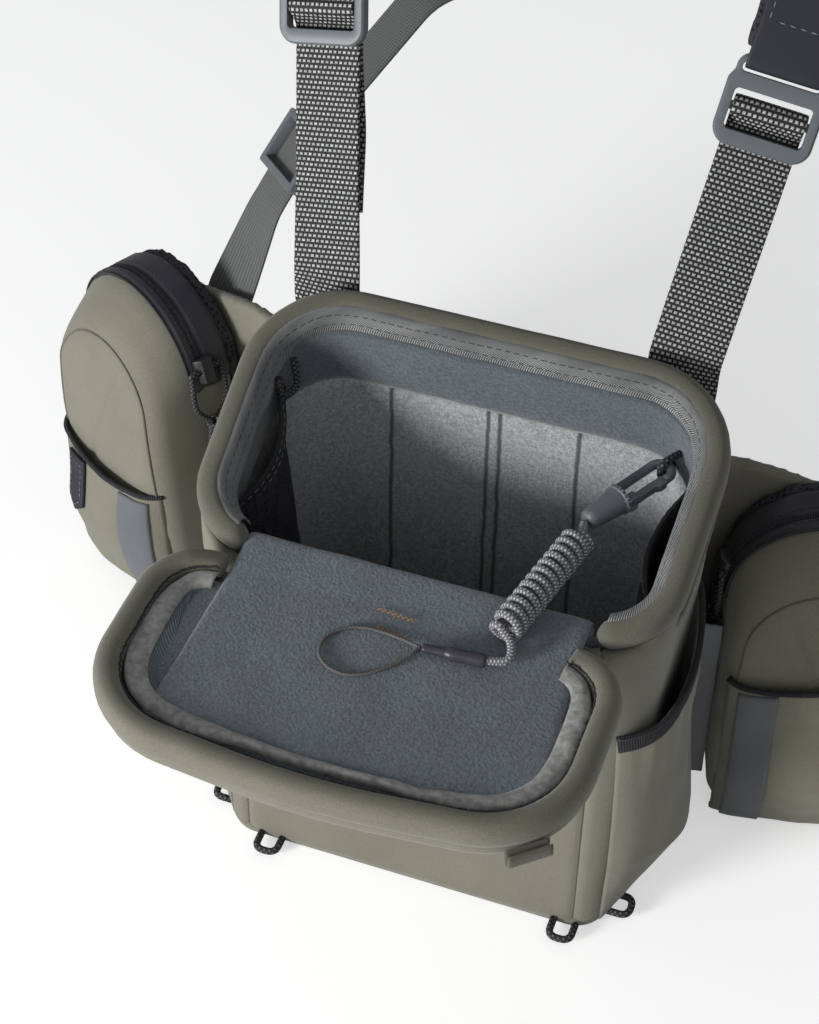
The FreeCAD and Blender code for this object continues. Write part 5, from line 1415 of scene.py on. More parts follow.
def make_lid_tab():
    turn = math.radians(PULL_TAB_TURN)
    centre = np.array([LID_SHIFT + LID_HALF_WIDTH - LID_FRONT_RADIUS,
                       HINGE_Y - LID_SIDE_LENGTH + LID_FRONT_RADIUS * 0.9, HINGE_Z])
    ahead = np.array([math.sin(turn), -math.cos(turn), 0.0])
    beside = np.array([math.cos(turn), math.sin(turn), 0.0])
    wall_radius = LID_FRONT_RADIUS - 1.8
    profile = [(0.4, -12.2), (0.5, -14.5), (0.7, -16.4), (1.2, PULL_TAB_LOW + 0.4), (1.8, PULL_TAB_LOW),
               (2.4, PULL_TAB_LOW + 0.5), (2.6, -16.2), (2.5, -14.3), (2.3, -12.2)]
    rows = []
    coords = []
    for u in np.linspace(-1, 1, 15):
        reach = PULL_TAB_WIDTH / 2 * u
        rows.append([centre + ahead * (wall_radius + out) + beside * reach + np.array([0, 0, z])
                     for out, z in profile])
        coords.append([(reach * MM, z * MM) for _, z in profile])
    # The tab takes the much darker olive copy: painted shade.
    tab = grid("lid_tab_cloth", rows, "olive_rim", coords)
    attach(thicken(tab, 0.7), "lid", "tab_cloth", "lid_pull_tab")
    face = centre + ahead * (wall_radius + 2.7)
    for z in (-13.4, -14.5):
        line = np.array([face + beside * w + np.array([0, 0, z]) for w in (-6.6, 6.6)])
        row = stitches("lid_tab_stitch_%d" % int(-10 * z), line, "dark_thread", 1.8, 0.8, 0.22)
        attach(row, "lid", "tab_cloth")


def bent(profile):
    """A sheet's way across the hinge, from (y, z) points, with its corners rounded."""
    path, _ = filleted([(0.0, y, z) for y, z in profile], 4.0)
    return denser(path, np.zeros(len(path)), 1.5)[0]


# The fleece sheet's front edge on the lid, from left to right, and where it crosses the hinge.
SHEET_FRONT = ((-63.5, -112.0), (-64.5, -120.5), (-61.0, -121.9), (-34.0, -121.9), (0.0, -122.3),
               (42.0, -122.5), (56.0, -121.0), (63.0, -116.5), (65.2, -109.0))
SHEET_SPLIT = -54.0
SHEET_LEFT, SHEET_RIGHT = -62.5, 59.5
SHEET_TOP = HINGE_Z - 5.0


def make_lid_fold():
    """One run of fleece: over the lid's inside, across the hinge and down into the main pouch."""
    inner_y = taper(BASE_FRONT_Y, RIM_FRONT_Y, HINGE_Z) + SHELL + LINER
    columns, ahead = 110, 60
    front = even(np.array([(x, y, SHEET_TOP) for x, y in SHEET_FRONT]), columns)
    way = np.linspace(0, 1, ahead) ** 1.3
    over = ((3.2, -3.8), (4.4, -5.6), (2.8, -7.6), (-0.8, -9.4), (-0.4, -34.0))
    back = bent([(SHEET_SPLIT, SHEET_TOP), (HINGE_Y, HINGE_Z - 4.3)]
                + [(inner_y + y, HINGE_Z + z) for y, z in over])
    sheet = np.zeros((columns, ahead + len(back) - 1, 3))
    flat = np.zeros(sheet.shape[:2] + (2,))
    for c, x in enumerate(np.linspace(SHEET_LEFT, SHEET_RIGHT, columns)):
        start = np.array([x, SHEET_SPLIT, SHEET_TOP])
        sheet[c, :ahead] = front[c] + (start - front[c]) * way[:, None]
        sheet[c, ahead:] = back[1:] + np.array([x, 0, 0])
        run = distances(sheet[c])
        side = min(c, columns - 1 - c) * (SHEET_RIGHT - SHEET_LEFT) / columns
        drop = np.exp(-run / 1.1) + math.exp(-side / 1.1)
        sheet[c, :, 2] += ripple(sheet[c], 17.0, 0.4) - np.minimum(drop, 1.2)
        flat[c] = np.column_stack([np.full(len(run), x), run]) * MM
    lid_part = grid("lid_fleece", sheet[:, :ahead], "fleece", flat[:, :ahead], flip=True)
    attach(thicken(lid_part, 2.2), "lid", "fleece", "lid_fleece_panel")
    lining = grid("fold_lining", sheet[:, ahead - 1:], "fleece", flat[:, ahead - 1:], flip=True)
    thicken(lining, 2.2)
    for piece in (lid_part, lining):
        # Where the two meet, no shading rolls over the edge.
        spots = [abs(spot.co.y / MM - SHEET_SPLIT) < 0.05 for spot in piece.data.vertices]
        for edge in piece.data.edges:
            if spots[edge.vertices[0]] and spots[edge.vertices[1]]:
                edge.use_edge_sharp = True
    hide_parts("lid_fold")
    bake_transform(lining)


def make_outer_fold():
    """The cloth that closes the gap between the front and the lid from outside."""
    outer_y = taper(BASE_FRONT_Y, RIM_FRONT_Y, HINGE_Z)
    path = bent([(outer_y + 0.9, 138.0), (outer_y + 0.6, 144.0), (outer_y - 0.4, 149.0),
                 (outer_y - 4.0, 149.6), (-53.5, 145.0)])
    run = distances(path)
    rows = []
    coords = []
    for x in np.linspace(1.0 - HINGE_HALF, HINGE_HALF - 1.0, 90):
        row = path + np.array([x, 0, 0])
        row[:, 2] += ripple(row, 12.0, 0.3)
        rows.append(row)
        coords.append(np.column_stack([np.full(len(run), x), run]) * MM)
    cloth = thicken(grid("fold_cloth", rows, "olive_cloth", coords), 1.4)
    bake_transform(cloth)


# ---------------------------------------------------------------- side pouches
def leaned(points):
    """A side pouch's front, drawn in, back and down more and more towards the top of its dome."""
    points = np.array(points, float)
    rise = np.clip((points[:, 2] - LEAN_FROM) / (POUCH_DOME_Z + POUCH_HALF_WIDTH - LEAN_FROM), 0, 1)
    ahead = np.clip((ZIP_BAND_FRONT - 1.0 - points[:, 1]) / (POUCH_FRONT - 1.0), 0, 1)
    points[:, 0] *= 1 - LEAN_IN * rise * ahead
    points[:, 1] += LEAN_BACK * rise ** 1.5 * ahead
    points[:, 2] -= LEAN_DOWN * rise ** 1.2 * ahead
    return points


def pouch_place(side, points):
    """From a side pouch's own axes (out from the body, back, up) to the pack's."""
    x, y, lift, turn, lean = POUCH_SPOTS[side]
    sign = 1 if side == "right" else -1
    place = (Matrix.Translation((x, y, lift)) @ Matrix.Rotation(math.radians(turn), 4, "Z")
             @ Matrix.Rotation(math.radians(sign * lean), 4, "Y"))
    matrix = np.array(place)
    local = np.asarray(points, float) * np.array([sign, 1.0, 1.0])
    return local @ matrix[:3, :3].T + matrix[:3, 3]


def dome_loop(inset):
    """Front view of a side pouch, as (u, w), counterclockwise from the middle of its lower edge."""
    half = POUCH_HALF_WIDTH - inset
    corner = max(POUCH_CORNER - inset, 3.0)
    points = [(u, inset) for u in np.linspace(0, half - corner, 8, endpoint=False)]
    points.extend((half - corner + corner * math.sin(a), inset + corner - corner * math.cos(a))
                  for a in np.linspace(0, math.pi / 2, 8, endpoint=False))
    points.extend((half, w) for w in np.linspace(inset + corner, POUCH_DOME_Z, 26, endpoint=False))
    points.extend((half * math.cos(a), POUCH_DOME_Z + half * math.sin(a))
                  for a in np.linspace(0, math.pi / 2, 26, endpoint=False))
    left = [(-u, w) for u, w in points[1:]]
    return np.array(points + [(0.0, POUCH_DOME_Z + half)] + left[::-1])


def face_depth(u, w):
    """Where the pouch's front face lies, behind or before its middle line."""
    inset = POUCH_HALF_WIDTH - abs(u)
    if w > POUCH_DOME_Z:
        inset = POUCH_HALF_WIDTH - math.hypot(u, w - POUCH_DOME_Z)
    inset = min(inset, w)
    short = min(max(POUCH_ROUNDING - inset, 0.0), POUCH_ROUNDING)
    return -POUCH_FRONT + POUCH_ROUNDING - math.sqrt(POUCH_ROUNDING ** 2 - short ** 2)


def pocket_face(u, w, proud=0.0):
    """A spot on the bowed front pocket, in the pouch's own axes."""
    bow = max(0.0, 1 - (u / FRONT_POCKET_HALF) ** 2) ** 0.85
    foot = min(1.0, max(0.0, (w - 1.0) / 7.0)) ** 0.5
    close = 1 - MOUTH_HUG * math.exp(-((w - MOUTH_HUG_AT) / 20.0) ** 2) if w < MOUTH_HUG_AT else 1 - MOUTH_HUG
    depth = level(FRONT_POCKET_DEPTHS, w) * bow * foot * close
    return (u, face_depth(u, w) - 0.4 - depth - proud, w)


def pocket_mouth(side, u):
    inner, outer = POCKET_MOUTHS[side]
    return slanted(inner, outer, (u + FRONT_POCKET_HALF) / (2 * FRONT_POCKET_HALF))


def at_depth(ring, depth):
    """A loop of a pouch's front view, at one depth or at a depth for each of its points."""
    return np.column_stack([ring[:, 0], np.full(len(ring), depth), ring[:, 1]])


def pouch_skin(side, loop):
    """A loop of the pouch's cloth in its place, leaned back and a little uneven."""
    loop = pouch_place(side, leaned(loop))
    out = loop - pouch_place(side, [(0, 0, POUCH_MIDDLE)])[0]
    return loop + unit_rows(out) * (ripple(loop, 30.0, 1.2) + ripple(loop, 11.0, 0.35))[:, None]


def make_pouch(side):
    # Nested loops over the front face, round its edge and back to the rear seam.
    centre = np.array([0.0, POUCH_MIDDLE])
    loops = []
    for share in np.linspace(0.06, 1, 16, endpoint=False):
        ring = centre + (dome_loop(POUCH_ROUNDING) - centre) * share
        crease = np.array([-0.9 * math.exp(-((p[0] + 0.42 * (p[1] - 104.0) + 9.0) / 2.2) ** 2) for p in ring])
        loops.append(at_depth(ring, -POUCH_FRONT - 1.6 * (1 - share ** 3) - crease))
    for a in np.linspace(0, math.pi / 2, 7):
        ring = dome_loop(POUCH_ROUNDING * (1 - math.sin(a)))
        loops.append(at_depth(ring, -POUCH_FRONT + POUCH_ROUNDING * (1 - math.cos(a))))
    loops.extend(at_depth(dome_loop(0.0), depth) for depth in (-8.0, -2.0, 4.0, 11.0, POUCH_BACK))
    coords = [[(p[0] * MM, p[2] * MM) for p in loop] for loop in loops]
    shell = rings("pouch_cloth_" + side, [pouch_skin(side, loop) for loop in loops], "olive_cloth", coords)
    attach(shell, "pack", "olive_cloth", "side_pouch_shell_" + side)
    seam_line = pouch_skin(side, at_depth(dome_loop(POUCH_ROUNDING * 0.45), POUCH_SEAM_AT - POUCH_FRONT))
    # The seam's cord takes the much darker olive copy: painted shade along the seam.
    attach(tube("pouch_seam_" + side, seam_line, 0.55, "olive_rim", 8), "pack", "olive_cloth")
    make_zip(side)
    make_front_pocket(side)
    back = soften("side_pouch_back_" + side, "pouch_back_" + side, "back_mesh", 1.5, 4, 1.1, 6.0)
    attach(back, "pack", "fleece", "side_pouch_back_" + side)


def make_zip(side):
    """The coated band over the dome, its puckered edges, the coil and the stitches beside it."""
    angles = np.linspace(math.radians(-4), math.radians(184), 120)
    rows = []
    coords = []
    for v in np.linspace(ZIP_BAND_FRONT - 0.6, POUCH_BACK + 0.5, 26):
        edge = min(v - ZIP_BAND_FRONT + 0.6, POUCH_BACK + 0.5 - v)
        pucker = 0.16 * np.sin(angles * 31 + 2 * np.sin(angles * 7)) * math.exp(-edge / 2.5)
        channel = -1.2 * math.exp(-((v - ZIP_COIL_AT) / 2.0) ** 2)
        reach = POUCH_HALF_WIDTH + 1.3 + pucker + channel + (0.0 if edge > 0.8 else -0.8)
        rows.append(pouch_place(side, np.column_stack([reach * np.cos(angles), np.full(len(angles), v),
                                                       POUCH_DOME_Z + reach * np.sin(angles)])))
        coords.append(np.column_stack([angles * POUCH_HALF_WIDTH, np.full(len(angles), v)]) * MM)
    band = grid("zip_cloth_" + side, rows, "zip_tape", coords, flip=side == "right")
    attach(thicken(band, 1.2), "pack", "zip_tape", "zip_band_" + side)
    steps = COIL_TEETH * 8
    spiral = []
    for i in range(steps + 1):
        a = math.radians(2) + math.radians(176) * i / steps
        b = 2 * math.pi * i / 8
        reach = POUCH_HALF_WIDTH + 0.55 + 0.45 * math.sin(b)
        spiral.append((reach * math.cos(a), ZIP_COIL_AT + 1.3 * math.cos(b),
                       POUCH_DOME_Z + reach * math.sin(a)))
    attach(tube("zip_coil_" + side, pouch_place(side, spiral), 0.24, "zip_tape", 6), "pack", "zip_tape")

    def round_dome(proud, depth):
        reach = POUCH_HALF_WIDTH + proud
        return pouch_place(side, [(reach * math.cos(a), depth, POUCH_DOME_Z + reach * math.sin(a))
                                  for a in angles])

    piping = tube("zip_seam_" + side, round_dome(0.5, ZIP_BAND_FRONT - 0.9), 0.4, "dark_thread", 8)
    attach(piping, "pack", "zip_tape")
    for i, depth in enumerate((ZIP_COIL_AT - 3.0, ZIP_COIL_AT + 3.0)):
        name = "zip_stitch_%s_%d" % (side, i + 1)
        attach(stitches(name, round_dome(1.2, depth), "dark_thread", 1.8, 0.9, 0.2), "pack", "zip_tape")


def make_front_pocket(side):
    """The pocket on a pouch's front with its stripe, its pull tab and the seam round that."""
    flip = side == "left"
    columns, rows = 60, 60
    points = np.zeros((rows, columns, 3))
    coords = np.zeros((rows, columns, 2))
    for c, u in enumerate(np.linspace(-FRONT_POCKET_HALF, FRONT_POCKET_HALF, columns)):
        top = pocket_mouth(side, u) - 1.5 - 2.5 * (1 - (u / FRONT_POCKET_HALF) ** 2)
        for r, w in enumerate(np.linspace(1.0, top, rows)):
            points[r, c] = pocket_face(u, w)
            coords[r, c] = (u * MM, w * MM)
    ahead = pouch_place(side, [(0, -1, 0)])[0] - pouch_place(side, [(0, 0, 0)])[0]

    def creased(spots):
        """Spots on the pocket in their place, with its cloth's unevenness."""
        spots = pouch_place(side, spots)
        return spots + ahead * (ripple(spots, 17.0, 1.0) + ripple(spots, 7.0, 0.25))[:, None]

    placed = creased(points.reshape(-1, 3)).reshape(rows, columns, 3)
    cloth = grid("front_pocket_cloth_" + side, placed, "olive_cloth", coords, flip=flip)
    attach(thicken(cloth, 1.5), "pack", "olive_cloth", "front_pocket_" + side)
    mouth = placed[-1]
    lip = tube("front_pocket_edge_" + side, mouth - ahead * 0.6, 1.15, "binding", 10)
    attach(lip, "pack", "binding")
    if side == "right":
        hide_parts("pocket_bindings")

    def laid(name, edges, low, high, proud, finish_name, thick, point=0.0):
        """A strip on the pocket from low to high(u), its lower end drawn to a point."""
        strip = np.zeros((40, 14, 3))
        flat = np.zeros((40, 14, 2))
        for c, u in enumerate(np.linspace(*edges, 14)):
            middle = 1 - abs(2 * (u - edges[0]) / (edges[1] - edges[0]) - 1)
            for r, w in enumerate(np.linspace(low - point * middle, high(u), 40)):
                strip[r, c] = pocket_face(u, w, proud)
                flat[r, c] = (w * MM, u * MM)
        spots = creased(strip.reshape(-1, 3)).reshape(40, 14, 3)
        piece = thicken(grid(name, spots, finish_name, flat, flip=flip), thick)
        attach(piece, "pack", finish_name)
        return piece

    stripe = laid("pocket_stripe_" + side, STRIPE_EDGES, 4.0, lambda u: pocket_mouth(side, u) - 4.5, 1.0,
                  "stripe", 0.9)
    tab_top = pocket_mouth(side, TAB_EDGES[0]) - 3.9
    tab = laid("pocket_tab_" + side, TAB_EDGES, tab_top - 21.0, lambda u: tab_top, 1.7, "tab_cloth", 1.3, 4.0)
    if side == "right":
        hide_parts("pocket_stripes")
        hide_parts("pocket_tabs")
    left, right = TAB_EDGES[0] + 2.0, TAB_EDGES[1] - 2.0
    low, high = tab_top - 19.0, tab_top - 2.5
    point = (TAB_EDGES[0] + TAB_EDGES[1]) / 2, tab_top - 22.6
    box = ((left, low), point, (right, low), (right, high), (left, high), (left, low))
    line, _ = denser(np.array([(u, 0.0, w) for u, w in box]), np.zeros(len(box)), 2.0)
    spots = creased([pocket_face(u, w, 1.9) for u, _, w in line])
    attach(stitches("pocket_tab_stitch_" + side, spots, "pale_thread", 1.7, 1.1, 0.22), "pack", "tab_cloth")


def make_pull(side):
    angle = math.radians(SLIDER_REST - SLIDER_SWEEP / 2)
    reach = POUCH_HALF_WIDTH + SLIDER_CLEARANCE + TUNNEL_AT
    u, top = reach * math.cos(angle), POUCH_DOME_Z + reach * math.sin(angle)
    knot = top - PULL_DROP
    spread = SLIDER_WIDTH / 2 + PULL_CORD / 2 + PULL_SPREAD
    # Points (u, back from the coil, height): the doubled cord, its knot and its two tails.
    front = [(u, -0.8, knot), (u, -spread, knot + 9), (u, -spread, top - 3), (u, 0.6 - spread, top + 0.2)]
    runs = [(front + [(u, 0.0, top)] + [(u, -back, w) for _, back, w in front[::-1]], 80)]
    wraps = []
    for i in range(41):
        a = 2 * math.pi * i / 16
        rise = knot - 1.4 + 3.4 * (i / 40 - 0.5) + 1.2 * math.sin(a * 0.5)
        wraps.append((u + 2.1 * math.cos(a), 2.3 * math.sin(a), rise))
    runs.append((wraps, 90))
    for lean in (-3.4, 3.0):
        runs.append(([(u, lean * 0.2, knot - 0.5), (u + 0.6, lean * 0.6, knot - 5.5),
                      (u, lean, knot - TAIL_LENGTH)], 16))
    pieces = []
    for points, count in runs:
        path = smooth_path([(x, ZIP_COIL_AT + back, w) for x, back, w in points], count)
        pieces.append(tube("pull", pouch_place(side, path), PULL_CORD / 2, "cord"))
    attach(joined("pull_cord_" + side, pieces), "pull_" + side, "cord", "zip_pull_" + side)


# ---------------------------------------------------------------- straps and pads
def turned(degrees):
    return Vector((math.cos(math.radians(degrees)), math.sin(math.radians(degrees)), 0.0))


def make_front_strap(side):
    foot, rim, top, turn = FRONT_STRAPS[side]
    along = (top - rim).normalized()
    flat = Vector((1, 0, 0))
    across = turned(turn)
    out = across.cross(along).normalized()
    across = along.cross(out)
    near = LOCK_THICK / 2 + CONTACT_GAP + WEBBING / 2
    far = near + WEBBING + CONTACT_GAP
    over = 0.8 + CONTACT_GAP + WEBBING / 2
    centre = top + along * (LOCK_LENGTH / 2) + out * near
    below = -LOCK_LENGTH / 2
    # Its way through the lock, as (along the lock, out of it).
    threaded = [(below - 3.0, -near), (below + 6.8, -near), (GRIP_LOW - 1.9, -0.6), (GRIP_LOW, over),
                (GRIP_HIGH, over), (GRIP_HIGH + 1.9, 0.4), (GRIP_HIGH + 1.9, -far + 1.4),
                (GRIP_HIGH - 0.6, -far), (below - 3.0, -far), (below - 30.0, -far - TAIL_BULGE),
                (below - TAIL_OF_STRAP, -far - 1.0)]
    points = [foot, rim - Vector((0, 0, 12)), rim, rim + (top - rim) * 0.45]
    points.extend(centre + along * a + out * b for a, b in threaded)
    turns = [flat, flat, turned(turn * 0.3), across] + [across] * len(threaded)
    piece = strap("front_webbing_" + side, points, turns, WEBBING_WIDTH, WEBBING, "webbing", 5.0)
    attach(piece, "pack", "webbing", "front_strap_" + side)

    end = LOCK_LENGTH / 2
    wrap = LOCK_THICK / 2 + CONTACT_GAP + TAB_CLOTH / 2
    hem = PAD_END_THICK / 2 + CONTACT_GAP + TAB_CLOTH / 2
    fold_at = end - LOCK_TOP_BAR - 1.7
    spots = [(end + SHOULDER_TAB, hem), (end + 8.0, hem), (fold_at + 1.7, wrap), (fold_at, wrap - 1.0),
             (fold_at, 1.0 - wrap), (fold_at + 1.7, -wrap), (end + 8.0, -hem), (end + SHOULDER_TAB, -hem)]
    points = [centre + along * a + out * b for a, b in spots]
    width, turns = LOCK_SLOT_WIDTH - 1.4, [across] * len(points)
    tab = strap("shoulder_tab_cloth_" + side, points, turns, width, TAB_CLOTH, "tab_cloth", 2.0)
    attach(tab, "pack", "tab_cloth")
    if side == "right":
        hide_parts("shoulder_tabs")
    half = LOCK_SLOT_WIDTH / 2 - 3.4
    near_end, far_end = end + 12.0, end + SHOULDER_TAB - 4
    box = ((near_end, -half), (far_end, -half), (far_end, half), (near_end, half), (near_end, -half))
    for face, sign in (("front", -1), ("back", 1)):
        lift = out * sign * (hem + TAB_CLOTH / 2 + 0.1)
        line = [centre + along * a + across * b + lift for a, b in box]
        attach(stitches("shoulder_stitch_%s_%s" % (side, face), line, "pale_thread", 2.2, 1.4, 0.24), "pack",
               "tab_cloth")


def yoke_point(across, up):
    lean = math.radians(YOKE_LEAN)
    return YOKE_CENTRE + Vector((across, up * math.cos(lean), up * math.sin(lean)))


def pouch_spot(side, u, depth):
    """A plan place by a side pouch, its lean left out."""
    x, y, _, turn, _ = POUCH_SPOTS[side]
    sign = 1 if side == "right" else -1
    a = math.radians(turn)
    return x + sign * u * math.cos(a) - depth * math.sin(a), y + sign * u * math.sin(a) + depth * math.cos(a)


WING_THICK, WING_BEND = 5.0, 1.8
REAR_FOOT_Z, REAR_LIFT_Z = 96.0, 126.0


def make_rear_strap(side):
    sign = 1 if side == "right" else -1
    foot_u, glide, far = REAR_STRAPS[side]
    depth = POUCH_BACK_FACE + WING_THICK + WING_BEND + CONTACT_GAP + WEBBING / 2
    x, y = pouch_spot(side, foot_u, depth)
    foot, lift = Vector((x, y, REAR_FOOT_Z)), Vector((x, y, REAR_LIFT_Z))
    along = (far - lift).normalized()
    flat = turned(POUCH_SPOTS[side][3])
    across = flat + Vector((0, 0, -0.55 * sign))
    out = across.cross(along).normalized()
    across = along.cross(out)
    reach = GLIDE_REACH
    last = yoke_point(sign * 20.0, -YOKE_TOP - CONTACT_GAP)
    above = last + (yoke_point(0, -24.0) - yoke_point(0, 0))
    points = [foot, lift, glide - along * reach, glide + along * reach, far + along * 8.0, above, last]
    sideways = Vector((1, 0, -0.25 * sign))
    turns = [flat, flat, across, across, across, sideways, Vector((1, 0, 0))]
    piece = strap("rear_webbing_" + side, points, turns, WEBBING_WIDTH, WEBBING, "plain_webbing", 8.0)
    attach(piece, "pack", "plain_webbing", "rear_strap_" + side)


def make_pads():
    for side in ("left", "right"):
        pad = soften("shoulder_pad_" + side, "shoulder_cloth_" + side, "mesh", 1.8, 6, 0.4)
        attach(pad, "pack", "pad_cloth", "shoulder_pad_" + side)
        wing = soften("wing_" + side, "wing_cloth_" + side, "olive_cloth", 1.5, 5, 0.5, 16.0)
        attach(wing, "pack", "olive_cloth", "wing_" + side)
    yoke = soften("yoke", "yoke_cloth", "mesh", 1.8, 6, 0.3)
    attach(yoke, "pack", "pad_cloth", "yoke")
    gussets = soften("wing_gussets", "gusset_cloth", "gusset", 0.7, 3, 0.3, 14.0)
    attach(gussets, "pack", "lining", "wing_gussets")


# ---------------------------------------------------------------- fittings
def crisp(node, name, finish_name, body, slot, bevel=0.3):
    """A copy of a hard frame piece with its long edges eased."""
    made = copied(node, name)
    if bevel:
        ease = made.modifiers.new("ease", "BEVEL")
        ease.width = bevel * MM
        ease.segments = 2
        ease.limit_method = "ANGLE"
        ease.angle_limit = math.radians(40)
    apply_all(made)
    only(made)
    bpy.ops.object.shade_smooth_by_angle(angle=math.radians(35))
    attach(dress(made, finish_name), body, slot, node)


def make_fittings():
    for side in ("left", "right"):
        crisp("ladder_lock_" + side, "lock_" + side, "hardware", "pack", "hardware")
        crisp("triglide_" + side, "glide_" + side, "hardware", "glide_" + side, "hardware")
        crisp("zip_slider_" + side, "slider_" + side, "slider", "slider_" + side, "slider", 0.25)
    crisp("hook_body", "hook", "hardware", "pack", "hardware", 0.0)
    crisp("hook_gate", "gate", "hardware", "gate", "hardware", 0.2)


# ---------------------------------------------------------------- cords
def hook_point(along, beside, out):
    ahead = (Vector((66.2, 31.8, 165.0)) - HOOK_TAIL).normalized()
    up = (Vector((0, 0, 1)) - ahead * ahead.z).normalized()
    return HOOK_TAIL + ahead * along + up.cross(ahead) * beside + up * out


def make_tether():
    run = COIL_END - COIL_START
    ahead = run.normalized()
    beside = ahead.cross(Vector((0, 0, 1))).normalized()
    up = beside.cross(ahead)
    lead = hook_point(-LEAD_GAP, 0.0, 0.0)
    points = [lead + (COIL_START - lead) * share for share in (0.0, 0.3)]
    per_turn = 14
    total = COIL_TURNS * per_turn
    for i in range(total + 1):
        a = 2 * math.pi * i / per_turn + math.pi / 2
        ease = min(1.0, (i + 1) / 5.0, (total - i + 1) / 5.0)
        reach = COIL_LINE_RADIUS * ease
        points.append(COIL_START + run * (i / total) + beside * reach * math.cos(a)
                      + up * reach * math.sin(a))
    corner = COIL_END + Vector((5.5, -8.2, -3.7))
    points.extend([COIL_END + Vector((4.0, -1.9, -1.6)), corner, SLEEVE_START + (corner - SLEEVE_START) * 0.3,
                   SLEEVE_START + (SLEEVE_END - SLEEVE_START) * 0.04])
    path = route(points, 5)
    coil = tube("tether_cord", path, ELASTIC_CORD / 2, "elastic", 12)
    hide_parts("tether_coil", "tether_lead")
    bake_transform(coil)

    run = SLEEVE_END - SLEEVE_START
    shares = np.linspace(0, 1, 60)
    line = np.array([SLEEVE_START + run * s for s in shares])
    across, ups = carried(line, (0, 0, 1))
    size = level(SLEEVE_SIZES, shares)
    sleeve = sweep("tether_sleeve_cover", line, across, ups, oval(2.0, 2.0, 2.0, 20), "sleeve",
                   scale=[(s, s) for s in size], waver=0.05, waver_size=4.0)
    attach(sleeve, "lid", "sleeve", "tether_sleeve")

    thin = route(THIN_LOOP, 8)
    loop = tube("tether_end_loop", thin, THIN_CORD / 2, "thin_cord", 10)
    attach(loop, "lid", "cord", "tether_loop")


# The loops at the base: x, y and the way each faces, in degrees.
LASH_LOOPS = ((-55, -50.3, -90), (62, -50.3, -90), (-75.5, -36, 180), (75.5, -36, 0), (75.5, 18, 0))


def make_small_loops():
    hanging = [(-74.0, 19.5, 172.5), (-72.9, 19.0, 163.5), (-70.0, 27.5, 163.0), (-72.4, 30.0, 173.5)]
    anchor = [Vector((68.9, 36.6, 167.6)), hook_point(34.3, 0.0, 3.9), hook_point(34.3, 0.0, -3.9),
              Vector((66.3, 38.2, 161.0))]
    pieces = []
    for points in (hanging, anchor):
        path, _ = filleted([tuple(p) for p in points], 4.0, 8)
        pieces.append(tube("loop", path, 1.3, "cord"))
    attach(joined("inner_cord_loops", pieces), "pack", "cord", "inner_loops")
    pieces = []
    for x, y, facing in LASH_LOOPS:
        turn = math.radians(facing)
        ahead = np.array([math.cos(turn), math.sin(turn), 0])
        beside = np.array([-ahead[1], ahead[0], 0])
        foot = np.array([x, y, 3.0])
        near, far = foot - beside * 4.2, foot + beside * 4.2
        path, _ = filleted([near, near + ahead * 8, far + ahead * 8, far], 4.0, 8)
        pieces.append(tube("loop", path, 1.4, "cord"))
    attach(joined("lash_cord_loops", pieces), "pack", "cord", "lash_loops")


# ---------------------------------------------------------------- the add-on
class PackSizes(bpy.types.PropertyGroup):
    """Settings of the stage."""

    key_power: bpy.props.FloatProperty(name="Key Lamp", description="Power of the lamp at the front left",
                                       default=15.0, min=0.0, subtype="POWER")
    fill_power: bpy.props.FloatProperty(name="Fill Lamp", description="Power of the lamp in front",
                                        default=2.0, min=0.0, subtype="POWER")
    sky_strength: bpy.props.FloatProperty(name="Surround", description="Light from all round",
                                          default=0.27, min=0.0)
    floor_tone: bpy.props.FloatProperty(name="Floor", description="How pale the floor is", default=0.9,
                                        min=0.0, max=0.98, subtype="FACTOR")
    floor_glow: bpy.props.FloatProperty(name="Floor Glow", description="Light that the camera sees added",
                                        default=0.5, min=0.0, max=1.0, subtype="FACTOR")


class PackStep:
    """One step that builds a group of pieces."""

    bl_options = {"REGISTER", "UNDO"}

    def execute(self, context):
        self.build(context.scene.field_pack)
        return {"FINISHED"}


class PACK_OT_stage(PackStep, bpy.types.Operator):
    """Camera, floor, lamps and surround"""
    bl_idname = "pack.stage"
    bl_label = "Stage"

    def build(self, sizes):
        make_camera()
        make_stage(sizes)


class PACK_OT_cords(PackStep, bpy.types.Operator):
    """Coiled tether with its sleeve and end loop, and the small cord loops"""
    bl_idname = "pack.cords"
    bl_label = "Cords"

    def build(self, sizes):
        make_tether()
        make_small_loops()


class PACK_OT_shell(PackStep, bpy.types.Operator):
    """Outer cloth of the main pouch"""
    bl_idname = "pack.shell"
    bl_label = "Outer Cloth"

    def build(self, sizes):
        make_shell()


class PACK_OT_lining(PackStep, bpy.types.Operator):
    """Fleece lining of the main pouch"""
    bl_idname = "pack.lining"
    bl_label = "Lining"

    def build(self, sizes):
        make_lining()


class PACK_OT_rim(PackStep, bpy.types.Operator):
    """Padded roll and tape round the mouth"""
    bl_idname = "pack.rim"
    bl_label = "Rim"

    def build(self, sizes):
        make_rim()


class PACK_OT_pockets(PackStep, bpy.types.Operator):
    """Stretch pockets outside and mesh pockets inside"""
    bl_idname = "pack.pockets"
    bl_label = "Pockets"

    def build(self, sizes):
        make_stretch_pockets()
        make_mesh_pockets()


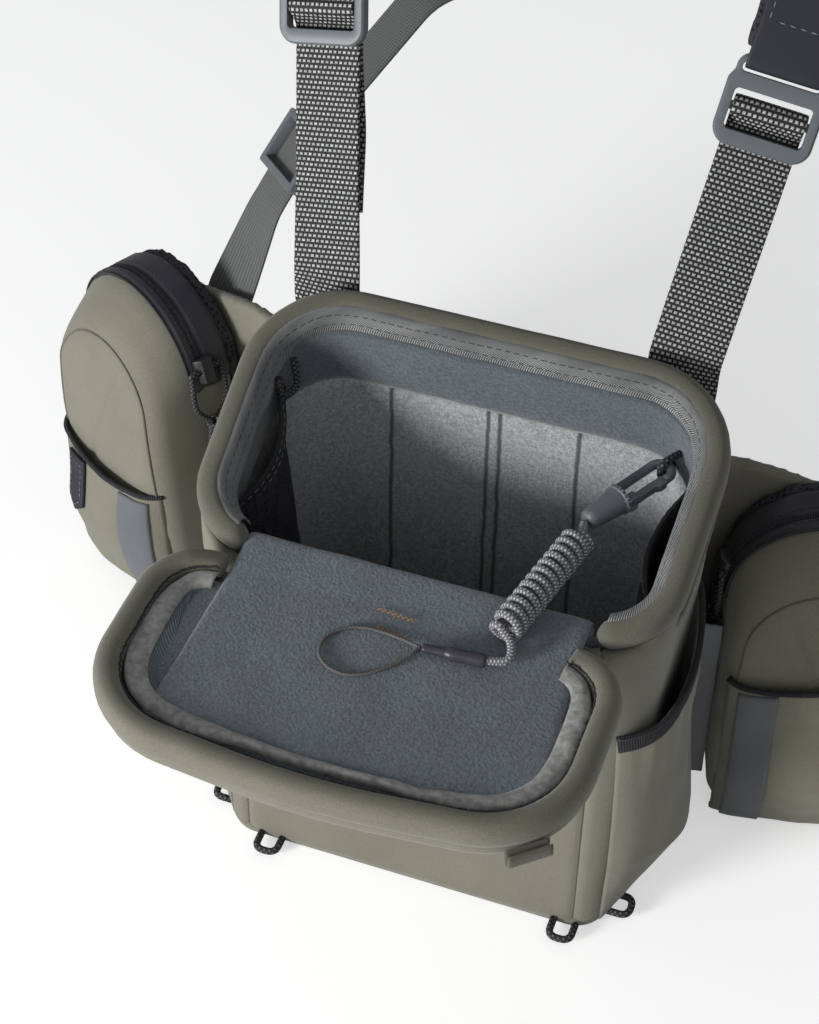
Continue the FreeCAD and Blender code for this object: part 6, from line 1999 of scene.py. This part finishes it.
class PACK_OT_lid(PackStep, bpy.types.Operator):
    """Lid with its roll, fleece and bindings"""
    bl_idname = "pack.lid"
    bl_label = "Lid"

    def build(self, sizes):
        make_lid()


class PACK_OT_pouches(PackStep, bpy.types.Operator):
    """Side pouches with their zips, pulls and front pockets"""
    bl_idname = "pack.pouches"
    bl_label = "Side Pouches"

    def build(self, sizes):
        for side in ("left", "right"):
            make_pouch(side)
            make_pull(side)


class PACK_OT_straps(PackStep, bpy.types.Operator):
    """Webbing, shoulder tabs and pads"""
    bl_idname = "pack.straps"
    bl_label = "Straps"

    def build(self, sizes):
        for side in ("left", "right"):
            make_front_strap(side)
            make_rear_strap(side)
        make_pads()


class PACK_OT_fittings(PackStep, bpy.types.Operator):
    """Moulded locks, glides, hook and metal sliders"""
    bl_idname = "pack.fittings"
    bl_label = "Fittings"

    def build(self, sizes):
        make_fittings()


STEPS = (PACK_OT_stage, PACK_OT_cords, PACK_OT_shell, PACK_OT_lining, PACK_OT_rim, PACK_OT_pockets,
         PACK_OT_lid, PACK_OT_pouches, PACK_OT_straps, PACK_OT_fittings)


class PACK_PT_panel(bpy.types.Panel):
    """The steps that build the pack"""
    bl_idname = "PACK_PT_panel"
    bl_label = "Pack"
    bl_space_type = "VIEW_3D"
    bl_region_type = "UI"
    bl_category = "Pack"

    def draw(self, context):
        for step in STEPS:
            self.layout.operator(step.bl_idname)
        for name in PackSizes.__annotations__:
            self.layout.prop(context.scene.field_pack, name)


def register():
    for made in (PackSizes, *STEPS, PACK_PT_panel):
        bpy.utils.register_class(made)
    bpy.types.Scene.field_pack = bpy.props.PointerProperty(type=PackSizes)


def unregister():
    del bpy.types.Scene.field_pack
    for made in reversed((PackSizes, *STEPS, PACK_PT_panel)):
        bpy.utils.unregister_class(made)


def main():
    for spare in ("Cube", "Light", "Camera"):
        if spare in bpy.data.objects:
            bpy.data.objects.remove(bpy.data.objects[spare])
    register()
    for step in STEPS:
        group, name = step.bl_idname.split(".")
        getattr(getattr(bpy.ops, group), name)()


if __name__ == "__main__":
    main()
